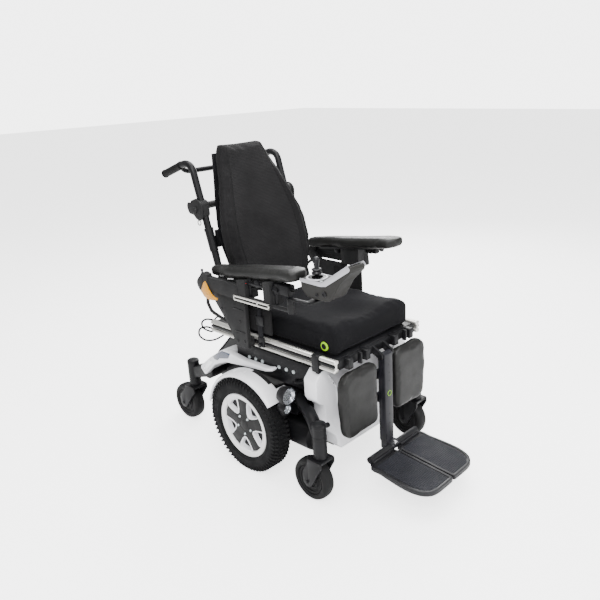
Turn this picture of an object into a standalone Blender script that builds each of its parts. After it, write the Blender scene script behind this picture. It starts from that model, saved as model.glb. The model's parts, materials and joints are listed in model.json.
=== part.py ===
"""Mid-wheel-drive power wheelchair, one object for each sub-part.

Axes: +Z up, the front of the chair faces -Y, and the user's right hand is at -X.
Every place below is given from the ground and from the drive axle, where Y is 0. A last shift
along Y puts the origin under the middle of the whole chair.
"""
import math

import bmesh
import bpy
from mathutils import Matrix, Vector

# ---------------------------------------------------------------- driving dimensions, metres
GAP = 0.0003            # between pieces that touch
RUN = 0.0005            # running clearance round a pin
WHEEL_R = 0.178         # drive wheel, 14 inch
WHEEL_W = 0.076
WHEEL_X = 0.267         # half of the track
BEAD_R = 0.121          # where the tyre sits on the rim
CASTOR_R = 0.076        # castor wheel, 6 inch
CASTOR_W = 0.046
FRONT_STEM = (0.262, -0.345)
REAR_STEM = (0.180, 0.440)
FRONT_TRAIL = 0.036
REAR_TRAIL = 0.055
PIN_R = 0.010           # castor pin
PIN_TOP = 0.062         # how far the pin reaches into its housing
STEM_R = 0.023          # castor stem housing
STEM_FLOOR = 2 * CASTOR_R + 0.015
FRONT_STEM_TOP = 0.288
REAR_STEM_TOP = 0.272
TUB_HALF = 0.104        # battery tub, outside
TUB_WALL = 0.005
TUB_BACK = 0.262
TUB_LOW = 0.100
TUB_TOP = 0.4000
BATTERY_TOP = 0.330
BEAM_PIVOT = (-0.115, 0.260)
BEAM_AXLE_R = 0.012
BEAM_IN, BEAM_OUT = 0.168, 0.188
REAR_PIVOT = (0.325, 0.262)
REAR_ARM_IN, REAR_ARM_OUT = 0.122, 0.198
MOTOR_X, MOTOR_Z, MOTOR_R = 0.157, 0.150, 0.050
MOTOR_FRONT = -0.235
PLATE_X = 0.198         # outer face of the seat base
PLATE_T = 0.006
PLATE_LOW, PLATE_TOP = 0.345, 0.440
DECK_T = 0.004
TILT_PIVOT = (0.220, 0.425)
ANCHOR = (0.120, 0.366)         # actuator's foot
ROD_EYE = (-0.160, 0.470)
RAIL_X = 0.215          # middle of a seat rail
RAIL_W = 0.022
RAIL_LOW, RAIL_TOP = 0.460, 0.505
RAIL_FRONT, RAIL_BACK = -0.390, 0.225
PAN_LOW, PAN_TOP = 0.4925, 0.4975
SEAT_FRONT, SEAT_BACK = -0.376, 0.095
SEAT_TOP = 0.585
RECLINE = math.radians(15)
BACK_FOOT = (0.128, 0.535)      # back hinge
CANE_X = 0.200
CANE_R = 0.0125
CANE_TOP = 1.035
BACK_TOP = 1.128
BACK_LOW = 0.600
PAD_THICK = 0.045       # back cushion
ARM_X = 0.2375          # middle of an armrest pad
ARM_PAD_W = 0.076
ARM_PAD_T = 0.033
ARM_PAD_BACK, ARM_PAD_FRONT = 0.162, -0.292
ARM_PAD_LOW = 0.697     # underside at the back end
ARM_PAD_RISE = 0.128    # climb for each metre forward
ARM_HINGE = (0.155, 0.680)
ARM_PLATE_IN = 0.2625
REMOTE_X, REMOTE_W = 0.225, 0.070
REMOTE_HINGE = (0.270, -0.262)
STICK_Y, STICK_Z = -0.337, 0.752
DECK_Z = 0.768          # top of the remote round the stick
BOOT_POCKET_R = 0.028
BUTTON_R = 0.0045
LEG_HINGE = (-0.412, 0.456)
COLUMN_W = 0.042
COLUMN_FRONT, COLUMN_BACK = -0.428, -0.396
COLUMN_LOW, COLUMN_TOP = 0.134, 0.446
CALF_IN, CALF_OUT = 0.046, 0.226
CALF_LOW, CALF_TOP = 0.221, 0.457
CALF_FRONT, CALF_BACK = -0.421, -0.388
FOOT_HINGE = (-0.442, 0.124)
FOOT_FRONT = -0.688
FOOT_HALF = 0.150
FOOT_FALL = math.radians(5)
SHROUD_OUT = WHEEL_X - WHEEL_W / 2 - 0.003

CHAIR_FRONT = FOOT_FRONT
CHAIR_BACK = REAR_STEM[1] + REAR_TRAIL + CASTOR_R
SHIFT = Vector((0, -(CHAIR_FRONT + CHAIR_BACK) / 2, 0))
SIDES = (("right", -1), ("left", 1))
WHEEL_STEPS = 24        # facets round a drive wheel and its rim
CASTOR_STEPS = 16
FLAT_ANGLE = math.radians(0.05)     # faces this close to one plane are made one


# ---------------------------------------------------------------- making shapes
def clear_scene():
    for thing in list(bpy.data.objects):
        bpy.data.objects.remove(thing, do_unlink=True)


def shape(bm):
    """Turn a bmesh into a plain object that can be joined, cut or finished."""
    bmesh.ops.remove_doubles(bm, verts=bm.verts, dist=1e-6)
    bmesh.ops.recalc_face_normals(bm, faces=bm.faces)
    mesh = bpy.data.meshes.new("shape")
    bm.to_mesh(mesh)
    bm.free()
    thing = bpy.data.objects.new("shape", mesh)
    bpy.context.scene.collection.objects.link(thing)
    return thing


def box(low, high, bevel=0.0, segments=1):
    bm = bmesh.new()
    size = [abs(h - l) for l, h in zip(low, high)]
    middle = [(h + l) / 2 for l, h in zip(low, high)]
    bmesh.ops.create_cube(bm, size=1, matrix=Matrix.Translation(middle) @ Matrix.Diagonal((*size, 1)))
    if bevel:
        bmesh.ops.bevel(bm, geom=list(bm.edges), offset=bevel, segments=segments, affect="EDGES",
                         profile=0.5, clamp_overlap=True)
    return shape(bm)


def rod(start, end, radius, sides=16, end_radius=None, bevel=0.0):
    """A round bar between two points."""
    start, end = Vector(start), Vector(end)
    line = end - start
    turn = line.to_track_quat("Z", "Y").to_matrix().to_4x4()
    bm = bmesh.new()
    bmesh.ops.create_cone(bm, cap_ends=True, segments=sides, radius1=radius,
                          radius2=radius if end_radius is None else end_radius, depth=line.length,
                          matrix=Matrix.Translation((start + end) / 2) @ turn)
    if bevel:
        rims = [e for e in bm.edges if any(len(f.verts) > 4 for f in e.link_faces)]
        bmesh.ops.bevel(bm, geom=rims, offset=bevel, segments=1, affect="EDGES", clamp_overlap=True)
    return shape(bm)


def prism(outline, axis, low, high, bevel=0.0, segments=2):
    """Push a flat outline along X, Y or Z. The outline gives the other two coordinates in order."""
    def place(point, depth):
        coords = list(point)
        coords.insert("XYZ".index(axis), depth)
        return coords
    low, high = min(low, high), max(low, high)
    bm = bmesh.new()
    ends = [[bm.verts.new(place(p, depth)) for p in outline] for depth in (low, high)]
    bm.faces.new(ends[0])
    bm.faces.new(ends[1][::-1])
    for i in range(len(outline)):
        j = (i + 1) % len(outline)
        bm.faces.new((ends[0][i], ends[0][j], ends[1][j], ends[1][i]))
    bmesh.ops.recalc_face_normals(bm, faces=bm.faces)
    if bevel:
        rims = [e for e in bm.edges if any(len(f.verts) == len(outline) for f in e.link_faces)
                and abs(e.verts[0].co["XYZ".index(axis)] - e.verts[1].co["XYZ".index(axis)]) < 1e-7]
        bmesh.ops.bevel(bm, geom=rims, offset=bevel, segments=segments, affect="EDGES",
                         profile=0.5, clamp_overlap=True)
    return shape(bm)


def turned(profile, centre, out, start=0.0, sweep=2 * math.pi, steps=40):
    """Turn a closed (radius, along X) profile about an X axis; `out` is -1 or 1, the way outward.

    A part turn starts at `start` from straight ahead (-Y) and climbs towards +Z.
    """
    full = abs(sweep - 2 * math.pi) < 1e-6
    bm = bmesh.new()
    rings = []
    for i in range(steps if full else steps + 1):
        angle = start + sweep * i / steps
        ring = []
        for radius, along in profile:
            ring.append(bm.verts.new((centre[0] + out * along, centre[1] - radius * math.cos(angle),
                                      centre[2] + radius * math.sin(angle))))
        rings.append(ring)
    count = len(profile)
    for i in range(steps):
        a, b = rings[i], rings[(i + 1) % len(rings)]
        for j in range(count):
            k = (j + 1) % count
            if profile[j][0] or profile[k][0]:
                bm.faces.new((a[j], b[j], b[k], a[k]))
    if not full:
        bm.faces.new(rings[0])
        bm.faces.new(rings[-1][::-1])
    bmesh.ops.remove_doubles(bm, verts=bm.verts, dist=1e-6)
    return shape(bm)


def smooth_route(points, step):
    """Points every `step` along a smooth curve through the given points."""
    points = [Vector(p) for p in points]
    ends = [points[0] * 2 - points[1]] + points + [points[-1] * 2 - points[-2]]
    route = [points[0]]
    for a, b, c, d in zip(ends, ends[1:], ends[2:], ends[3:]):
        count = max(1, round((c - b).length / step))
        for i in range(1, count + 1):
            t = i / count
            route.append(0.5 * (2 * b + (c - a) * t + (2 * a - 5 * b + 4 * c - d) * t ** 2
                                + (3 * b - a - 3 * c + d) * t ** 3))
    return route


def tube(points, radius, resolution=4):
    """A round tube with closed ends along a line of points, made with a bevelled curve."""
    curve = bpy.data.curves.new("tube", "CURVE")
    curve.dimensions = "3D"
    curve.bevel_depth = radius
    curve.bevel_resolution = resolution
    curve.use_fill_caps = True
    spline = curve.splines.new("POLY")
    spline.points.add(len(points) - 1)
    for point, place in zip(spline.points, points):
        point.co = (*place, 1)
    holder = bpy.data.objects.new("tube", curve)
    bpy.context.scene.collection.objects.link(holder)
    mesh = bpy.data.meshes.new_from_object(holder.evaluated_get(bpy.context.evaluated_depsgraph_get()))
    bpy.data.objects.remove(holder)
    bm = bmesh.new()
    bm.from_mesh(mesh)
    return shape(bm)


def combine(base, others, operation):
    """Join pieces to the base, or cut them from it, and drop the pieces."""
    for other in others:
        step = base.modifiers.new(operation, "BOOLEAN")
        step.operation = operation
        step.solver = "EXACT"
        step.object = other
    bpy.context.view_layer.update()
    mesh = bpy.data.meshes.new_from_object(base.evaluated_get(bpy.context.evaluated_depsgraph_get()))
    for thing in [base, *others]:
        bpy.data.objects.remove(thing)
    bm = bmesh.new()
    bm.from_mesh(mesh)
    bmesh.ops.remove_doubles(bm, verts=bm.verts, dist=2e-6)
    bmesh.ops.dissolve_degenerate(bm, edges=bm.edges, dist=2e-6)
    bmesh.ops.dissolve_limit(bm, angle_limit=FLAT_ANGLE, verts=bm.verts, edges=bm.edges)
    mesh = bpy.data.meshes.new("shape")
    bm.to_mesh(mesh)
    bm.free()
    thing = bpy.data.objects.new("shape", mesh)
    bpy.context.scene.collection.objects.link(thing)
    return thing


def join(base, *others):
    return combine(base, others, "UNION")


def cut(base, *cutters):
    return combine(base, cutters, "DIFFERENCE")


def rounded(corners, radii, steps=4):
    """An outline with each corner rounded by its own radius, at most what its two edges have room for."""
    outline = []
    count = len(corners)
    for i, (corner, radius) in enumerate(zip(corners, radii)):
        here = Vector(corner)
        before = Vector(corners[i - 1]) - here
        after = Vector(corners[(i + 1) % count]) - here
        half = before.angle(after) / 2
        radius = min(radius, 0.48 * min(before.length, after.length) * math.tan(half))
        if not radius or half > math.radians(89):
            outline.append(tuple(here))
            continue
        before.normalize()
        after.normalize()
        middle = here + (before + after).normalized() * radius / math.sin(half)
        first = (here + before * radius / math.tan(half) - middle).normalized()
        last = (here + after * radius / math.tan(half) - middle).normalized()
        for k in range(steps + 1):
            outline.append(tuple(middle + first.slerp(last, k / steps) * radius))
    return outline


def span(side, low, high):
    """The X range of a piece that lies between two distances from the middle."""
    return sorted((side * low, side * high))


def place(name, thing, colour, pivot=(0, 0, 0), roughness=0.5, metallic=0.0, flat=35):
    """Name a finished shape, put its origin on its pivot, and give it its material."""
    pivot = Vector(pivot)
    thing.name = name
    thing.data.name = name
    thing.data.transform(Matrix.Translation(-pivot))
    thing.location = pivot + SHIFT
    thing.data.shade_smooth()
    thing.data.set_sharp_from_angle(angle=math.radians(flat))
    finish = bpy.data.materials.new(name)
    finish.use_nodes = True
    shader = finish.node_tree.nodes["Principled BSDF"]
    shader.inputs["Base Color"].default_value = (*colour, 1)
    shader.inputs["Roughness"].default_value = roughness
    shader.inputs["Metallic"].default_value = metallic
    thing.data.materials.clear()
    thing.data.materials.append(finish)
    return thing


BLACK = (0.022, 0.022, 0.024)
CHARCOAL = (0.055, 0.055, 0.057)
WHITE = (0.80, 0.80, 0.83)
SILVER = (0.72, 0.71, 0.68)
FABRIC = (0.018, 0.018, 0.020)
GREY = (0.12, 0.12, 0.12)


# ---------------------------------------------------------------- drive wheels
def make_wheel(name, side):
    hub = (side * WHEEL_X, 0, WHEEL_R)
    half = WHEEL_W / 2
    shoulder = [(BEAD_R, 0.84), (0.84 * WHEEL_R, 1.0), (0.95 * WHEEL_R, 0.84), (WHEEL_R, 0.36)]
    profile = [(r, -half * w) for r, w in shoulder] + [(r, half * w) for r, w in reversed(shoulder)]
    place(f"tyre_{name}", turned(profile, hub, side, steps=WHEEL_STEPS), BLACK, hub, 0.85)

    seat = BEAD_R - GAP
    face = [(0, 0.028), (0.094, 0.028), (0.100, 0.033), (seat, 0.031), (seat, -0.029),
            (seat - 0.012, -0.029), (seat - 0.016, 0.016), (0.031, 0.016), (0.030, -0.020), (0, -0.020)]
    rim = turned(face, hub, side, steps=WHEEL_STEPS)
    window = rounded([(0.052, 0.006), (0.052, -0.006), (0.0905, -0.027), (0.0955, 0), (0.0905, 0.027)],
                     [0.004, 0.004, 0.005, 0, 0.005], 1)
    cutters = []
    for k in range(5):
        turn = Matrix.Rotation(math.radians(90 + 36 + 72 * k), 2)
        outline = [turn @ Vector(p) for p in window]
        outline = [(hub[1] - p.x, hub[2] + p.y) for p in outline]
        cutters.append(prism(outline, "X", hub[0], hub[0] + side * half))
    place(f"rim_{name}", cut(rim, *cutters), WHITE, hub, 0.3)


# ---------------------------------------------------------------- castors
def make_castor(name, side, stem, trail, plain):
    """The fork with its pin and axle, and the wheel that turns on the axle."""
    x, y = side * stem[0], stem[1]
    hub = (x, y + trail, CASTOR_R)
    half = CASTOR_W / 2
    bore = 0.006 + RUN
    tread = [(bore, 0.80), (0.050, 0.62), (CASTOR_R - 0.010, 1.0), (CASTOR_R, 0.45)]
    profile = [(r, -half * w) for r, w in tread] + [(r, half * w) for r, w in reversed(tread)]
    place(f"{plain}_wheel_{name}", turned(profile, hub, side, steps=CASTOR_STEPS), CHARCOAL, hub, 0.7)

    top = STEM_FLOOR - 0.001
    crown_low = 2 * CASTOR_R + 0.004
    leg_in, leg_out = half + 0.004, half + 0.011
    leg = rounded([(y - 0.030, top), (y - 0.030, top - 0.020), (hub[1] - 0.016, hub[2] - 0.018),
                   (hub[1] + 0.016, hub[2] - 0.018), (hub[1] + 0.020, hub[2] + 0.030),
                   (y + 0.030, top - 0.016), (y + 0.030, top)],
                  [0.004, 0.010, 0.014, 0.014, 0.020, 0.008, 0.004], 1)
    legs = [prism(leg, "X", x + way * leg_in, x + way * leg_out) for way in (-1, 1)]
    crown = box((x - leg_out + 0.001, y - 0.028, crown_low), (x + leg_out - 0.001, y + 0.028, top - 0.0005))
    pin = rod((x, y, top - 0.004), (x, y, STEM_FLOOR + PIN_TOP), PIN_R, 16)
    axle = rod((x - leg_out - 0.004, hub[1], hub[2]), (x + leg_out + 0.004, hub[1], hub[2]), 0.006, 12)
    place(f"{plain}_fork_{name}", join(crown, *legs, pin, axle), BLACK, (x, y, CASTOR_R), 0.45)


def stem_housing(x, y, top):
    """A capped upright tube with the bore that the castor pin turns in."""
    body = rod((x, y, STEM_FLOOR), (x, y, top), STEM_R, 16, bevel=0.004)
    return body, rod((x, y, STEM_FLOOR - 0.01), (x, y, STEM_FLOOR + PIN_TOP + 0.004), PIN_R + RUN, 16)


# ---------------------------------------------------------------- suspension beams and motors
def make_beam(name, side):
    low, high = span(side, BEAM_IN, BEAM_OUT)
    y, z = BEAM_PIVOT
    pivot = (side * BEAM_IN, y, z)
    gear_top = WHEEL_R + 0.065 + GAP
    outline = rounded([(0.055, gear_top), (0.055, gear_top + 0.020), (-0.020, 0.290), (-0.105, 0.327),
                       (-0.190, 0.327), (-0.205, 0.285), (-0.165, 0.225), (-0.080, 0.225), (-0.064, gear_top)],
                      [0, 0.008, 0.02, 0.02, 0.012, 0.015, 0.01, 0.01, 0], 1)
    plate = prism(outline, "X", low, high)
    sx, sy = side * FRONT_STEM[0], FRONT_STEM[1]
    start = side * (BEAM_IN + BEAM_OUT) / 2
    route = smooth_route([(start, y - 0.030, 0.288), (start + side * 0.010, y - 0.065, 0.299),
                          (start + side * 0.032, y - 0.115, 0.296), (sx - side * 0.022, sy + 0.055, 0.287),
                          (sx - side * 0.003, sy + 0.016, 0.264), (sx, sy, 0.235)], 0.032)
    arm = tube(route, 0.021, 2)
    housing, bore = stem_housing(sx, sy, FRONT_STEM_TOP)
    body = join(plate, arm, housing)
    sleeve = rod((side * (BEAM_IN - 0.02), y, z), (side * (BEAM_OUT + 0.02), y, z), BEAM_AXLE_R + RUN, 16)
    place(f"beam_{name}", cut(body, bore, sleeve), BLACK, pivot, 0.4)

    gear_in = BEAM_IN - 0.050
    gear_out = WHEEL_X - WHEEL_W / 2 - 0.006
    low, high = span(side, gear_in, gear_out)
    gearbox = box((low, -0.055, WHEEL_R - 0.060), (high, 0.060, WHEEL_R + 0.065), 0.010, 1)
    can = rod((side * MOTOR_X, MOTOR_FRONT, MOTOR_Z), (side * MOTOR_X, -0.040, MOTOR_Z), MOTOR_R, 16, bevel=0.012)
    shaft = rod((side * (gear_out - 0.02), 0, WHEEL_R), (side * (WHEEL_X - 0.020 - GAP), 0, WHEEL_R), 0.014, 14)
    place(f"motor_{name}", join(gearbox, can, shaft), BLACK, pivot, 0.5)


def make_fender(name, side):
    inner = WHEEL_X - WHEEL_W / 2 + 0.003
    outer = WHEEL_X + WHEEL_W / 2 - 0.006
    r = WHEEL_R + 0.013
    profile = [(r, inner), (r + 0.0035, inner), (r + 0.0055, outer - 0.014), (r, outer - 0.001),
               (r - 0.008, outer), (r - 0.0095, outer - 0.003), (r - 0.002, outer - 0.005),
               (r + 0.0015, outer - 0.015)]
    arch = turned(profile, (0, 0, WHEEL_R), side, math.radians(39), math.radians(129), 11)
    angle = math.radians(52)
    foot_y, foot_z = -r * math.cos(angle), WHEEL_R + r * math.sin(angle)
    low, high = span(side, BEAM_OUT + GAP, inner + 0.010)
    strut = box((low, foot_y - 0.009, foot_z - 0.010), (high, foot_y + 0.009, foot_z - 0.001))
    place(f"fender_{name}", join(arch, strut), WHITE, (side * BEAM_IN, *BEAM_PIVOT), 0.3)


def make_headlamp(name, side):
    x = side * (WHEEL_X - 0.008)
    big = rod((x, -0.166, 0.343), (x, -0.212, 0.343), 0.029, 16, 0.033, bevel=0.004)
    small = rod((x + side * 0.002, -0.170, 0.293), (x + side * 0.002, -0.203, 0.293), 0.018, 12, 0.020, bevel=0.003)
    web = box((x - 0.012, -0.196, 0.285), (x + 0.012, -0.176, 0.345), 0.003)
    low, high = span(side, BEAM_OUT + GAP, WHEEL_X - 0.020)
    bracket = box((low, -0.185, 0.3235), (high, -0.177, 0.335))
    low, high = span(side, BEAM_OUT + GAP, BEAM_OUT + 0.005)
    foot = box((low, -0.187, 0.3215), (high, -0.165, 0.337))
    place(f"headlamp_{name}", join(big, small, web, bracket, foot), CHARCOAL, (side * BEAM_IN, *BEAM_PIVOT), 0.4)


# ---------------------------------------------------------------- rear castor arms
def make_rear_arm(name, side):
    sx, sy = side * REAR_STEM[0], REAR_STEM[1]
    y, z = REAR_PIVOT
    low, high = span(side, REAR_ARM_IN, REAR_ARM_OUT)
    drum = rod((low, y, z), (high, y, z), 0.033, 16, bevel=0.003)
    outline = rounded([(y - 0.012, z - 0.024), (y, z + 0.026), (sy - 0.012, z - 0.012),
                       (sy, z - 0.052), (sy - 0.020, z - 0.058)], [0.01, 0.01, 0.005, 0.005, 0.005], 1)
    middle = (REAR_STEM[0] + REAR_ARM_OUT) / 2 - 0.012
    web = prism(outline, "X", side * (middle - 0.022), side * (middle + 0.018), 0.003, 1)
    housing, bore = stem_housing(sx, sy, REAR_STEM_TOP)
    axle = rod((side * (REAR_ARM_IN - 0.01), y, z), (side * (REAR_ARM_OUT + 0.01), y, z), 0.012 + RUN, 16)
    place(f"rear_arm_{name}", cut(join(drum, web, housing), bore, axle), BLACK, (side * REAR_ARM_IN, y, z), 0.4)


# ---------------------------------------------------------------- chassis
def make_chassis():
    half, wall = TUB_HALF, TUB_WALL
    back = REAR_PIVOT[0] + 0.030
    side_outline = rounded([(-TUB_BACK, TUB_LOW), (-TUB_BACK, TUB_TOP), (TUB_BACK, TUB_TOP), (back, 0.300),
                            (back, 0.225), (TUB_BACK, 0.215), (TUB_BACK, TUB_LOW)],
                           [0.01, 0.02, 0.02, 0.01, 0.01, 0.01, 0.01], 1)
    tub = prism(side_outline, "X", -half, half)
    hollow = box((-half + wall, -TUB_BACK + wall, TUB_LOW + wall), (half - wall, TUB_BACK - wall, TUB_TOP + 0.1))
    notch = box((-half + wall, TUB_BACK, 0.18), (half - wall, back + 0.02, TUB_TOP + 0.1))
    tub = cut(tub, hollow, notch)
    y, z = BEAM_PIVOT
    axles = []
    for side in (-1, 1):
        axles.append(rod((side * (half - 0.004), y, z), (side * (BEAM_OUT + 0.006), y, z), BEAM_AXLE_R, 16))
        axles.append(rod((side * (half - 0.004), y, z), (side * (BEAM_IN - 0.002), y, z), 0.019, 16))
        axles.append(rod((side * (half - 0.004), *REAR_PIVOT), (side * (REAR_ARM_OUT + 0.006), *REAR_PIVOT), 0.012, 16))
        axles.append(rod((side * (half - 0.004), *REAR_PIVOT), (side * (REAR_ARM_IN - 0.002), *REAR_PIVOT), 0.022, 16))
    place("chassis_frame", join(tub, *axles, *actuator_anchor()), BLACK, (0, 0, TUB_LOW), 0.5)

    inside = half - wall - GAP
    place("battery_pack", box((-inside, -TUB_BACK + wall + GAP, TUB_LOW + wall + GAP),
                              (inside, TUB_BACK - wall - GAP, BATTERY_TOP), 0.004), CHARCOAL, (0, 0, TUB_LOW), 0.6)
    fins = [box((0.040, -0.095 + 0.022 * k, BATTERY_TOP + 0.030), (0.094, -0.087 + 0.022 * k, BATTERY_TOP + 0.050))
            for k in range(8)]
    base = box((0.038, -0.100, BATTERY_TOP + GAP), (0.096, 0.085, BATTERY_TOP + 0.032), 0.002)
    place("power_module", join(base, *fins), SILVER, (0.067, 0.037, BATTERY_TOP), 0.5, 0.6)


def make_seat_base():
    """The pressed deck over the tub, with its side plates, tilt lugs and tie-down loops."""
    deck_low = TUB_TOP + GAP
    front, waist, back = -0.268, 0.118, TILT_PIVOT[0] + 0.026
    outline = [(-PLATE_X, front), (PLATE_X, front), (PLATE_X, waist), (TUB_HALF, waist + 0.03), (TUB_HALF, back),
               (-TUB_HALF, back), (-TUB_HALF, waist + 0.03), (-PLATE_X, waist)]
    deck = prism(outline, "Z", deck_low, deck_low + DECK_T)
    parts = []
    side_outline = rounded([(front, PLATE_LOW + 0.02), (front, PLATE_TOP), (waist, PLATE_TOP),
                            (waist, PLATE_LOW + 0.03), (waist - 0.05, PLATE_LOW), (front + 0.03, PLATE_LOW)],
                           [0.008, 0.008, 0.012, 0.01, 0.02, 0.02], 1)
    y, z = TILT_PIVOT
    lug = rounded([(y - 0.030, deck_low), (y - 0.016, z + 0.014), (y + 0.016, z + 0.014), (y + 0.024, deck_low)],
                  [0, 0.01, 0.01, 0], 2)
    for side in (-1, 1):
        parts.append(prism(side_outline, "X", side * (PLATE_X - PLATE_T), side * PLATE_X))
        parts.append(prism(lug, "X", side * (TUB_HALF - 0.008), side * TUB_HALF))
        parts.append(rod((side * (TUB_HALF - 0.025), y, z), (side * (TUB_HALF - 0.001), y, z), 0.007, 14))
        loop = smooth_route([(side * (PLATE_X - 0.003), -0.180, 0.372), (side * (PLATE_X + 0.010), -0.192, 0.368),
                             (side * (PLATE_X + 0.014), -0.225, 0.378), (side * (PLATE_X + 0.010), -0.254, 0.392),
                             (side * (PLATE_X - 0.003), -0.262, 0.396)], 0.012)
        parts.append(tube(loop, 0.0045, 2))
    slot = box((-0.037, -0.200, deck_low - 0.01), (0.037, ANCHOR[0] + 0.004, deck_low + 0.02))
    place("seat_base", cut(join(deck, *parts), slot), BLACK, (0, 0, deck_low), 0.5)


def make_shrouds():
    for name, side in SIDES:
        arm = rounded([(0.300, 0.262), (0.327, 0.292), (0.262, 0.345), (0.178, 0.3985), (0.130, 0.3985),
                       (0.060, 0.390), (-0.060, 0.392), (-0.092, 0.398), (-0.100, 0.390), (-0.060, 0.378),
                       (0.060, 0.366), (0.170, 0.352), (0.235, 0.322)],
                      [0.006, 0.006, 0.04, 0.015, 0.02, 0.05, 0.03, 0.004, 0.004, 0.03, 0.05, 0.05, 0.02], 1)
        bulb = rounded([(0.300, 0.262), (0.327, 0.292), (0.262, 0.345), (0.178, 0.3985), (0.135, 0.3985),
                        (0.150, 0.356), (0.235, 0.322)], [0.006, 0.006, 0.04, 0.015, 0.006, 0.006, 0.02], 1)
        outer = prism(arm, "X", side * (PLATE_X + 0.0025), side * SHROUD_OUT, 0.004, 2)
        inner = prism(bulb, "X", side * (TUB_HALF + 0.004), side * (SHROUD_OUT - 0.006), 0.002, 1)
        room = box((side * (TUB_HALF - 0.001), 0.270, 0.200), (side * (REAR_ARM_OUT + 0.004), 0.400, 0.305))
        place(f"shroud_{name}", cut(join(outer, inner), room), WHITE, (side * PLATE_X, 0.2, 0.35), 0.3)

    half, waist, taper = 0.238, FRONT_STEM[0] - 0.062, 0.150
    low, top, knee = 0.126, 0.446, STEM_FLOOR + 0.012
    corners = [(-taper, low), (-taper, knee), (-waist, knee + 0.055), (-waist, 0.318), (-half, 0.345), (-half, top),
               (half, top), (half, 0.345), (waist, 0.318), (waist, knee + 0.055), (taper, knee), (taper, low)]
    radii = [0.02, 0.03, 0.03, 0.02, 0.02, 0.03, 0.03, 0.02, 0.02, 0.03, 0.03, 0.02]
    front, back, wall = -0.318, -0.2625 - GAP, 0.004
    cover = prism(rounded(corners, radii, 1), "Y", front, back)
    hollow = prism(rounded([(x * (1 - wall / taper), low + wall + (z - low) * (1 - 2 * wall / (top - low)))
                            for x, z in corners], radii, 1), "Y", front + wall, back + 0.05)
    place("front_shroud", cut(cover, hollow), WHITE, (0, back, low), 0.3)

    low, back = 0.195, REAR_PIVOT[0] + 0.030
    top, knee = Vector((TUB_BACK + 0.012, TUB_TOP - 0.013)), Vector((back, 0.300))
    off = Vector((top.y - knee.y, knee.x - top.x)).normalized()
    cap = [(back + GAP, low), (back + 0.022, low + 0.030), (back + 0.018, knee.y - 0.004), knee + off * 0.012,
           top + off * 0.006, top + off * 0.0015, knee + off * 0.0015, (back + GAP, knee.y - 0.004)]
    cap = rounded([tuple(p) for p in cap], [0, 0.01, 0.01, 0.01, 0, 0, 0, 0], 1)
    place("rear_cover", prism(cap, "X", -TUB_HALF, TUB_HALF), CHARCOAL, (0, back, low), 0.4)


# ---------------------------------------------------------------- tilt actuator

def actuator_anchor():
    """The cross member over the battery, with two lugs and the pin that the barrel swings on."""
    ay, az = ANCHOR
    low = BATTERY_TOP + GAP
    lug = rounded([(ay - 0.020, low + 0.001), (ay - 0.012, az + 0.012), (ay + 0.012, az + 0.012),
                   (ay + 0.020, low + 0.001)], [0, 0.01, 0.01, 0], 2)
    plates = [prism(lug, "X", side * 0.0125, side * 0.0175) for side in (-1, 1)]
    base = box((-TUB_HALF + 0.001, ay - 0.022, low), (TUB_HALF - 0.001, ay + 0.022, low + 0.005))
    pin = rod((-0.017, ay, az), (0.017, ay, az), 0.006, 14)
    return [base, *plates, pin]


def make_actuator():
    ay, az = ANCHOR
    ey, ez = ROD_EYE
    way = Vector((0, ey - ay, ez - az)).normalized()
    foot = Vector((0, ay, az))
    eye = Vector((0, ey, ez))
    barrel = join(rod(foot + way * 0.030, foot + way * 0.165, 0.016, 16),
                  rod(foot, foot + way * 0.035, 0.010, 12), rod((-0.011, ay, az), (0.011, ay, az), 0.0145, 16))
    motor = rod(foot + way * 0.034 + Vector((-0.020, 0, 0)), foot + way * 0.110 + Vector((-0.020, 0, 0)), 0.013, 14)
    barrel = join(barrel, motor)
    bore = rod(foot + way * 0.060, foot + way * 0.190, 0.0085, 14)
    pin_hole = rod((-0.03, ay, az), (0.03, ay, az), 0.006 + RUN, 14)
    place("actuator_barrel", cut(barrel, bore, pin_hole), GREY, foot, 0.4)
    shaft = rod(foot + way * 0.070, eye - way * 0.010, 0.008, 14)
    head = rod((-0.009, ey, ez), (0.009, ey, ez), 0.0165, 16)
    hole = rod((-0.03, ey, ez), (0.03, ey, ez), 0.0115, 14)
    place("actuator_rod", cut(join(shaft, head), hole), SILVER, eye, 0.25, 0.9)


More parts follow.
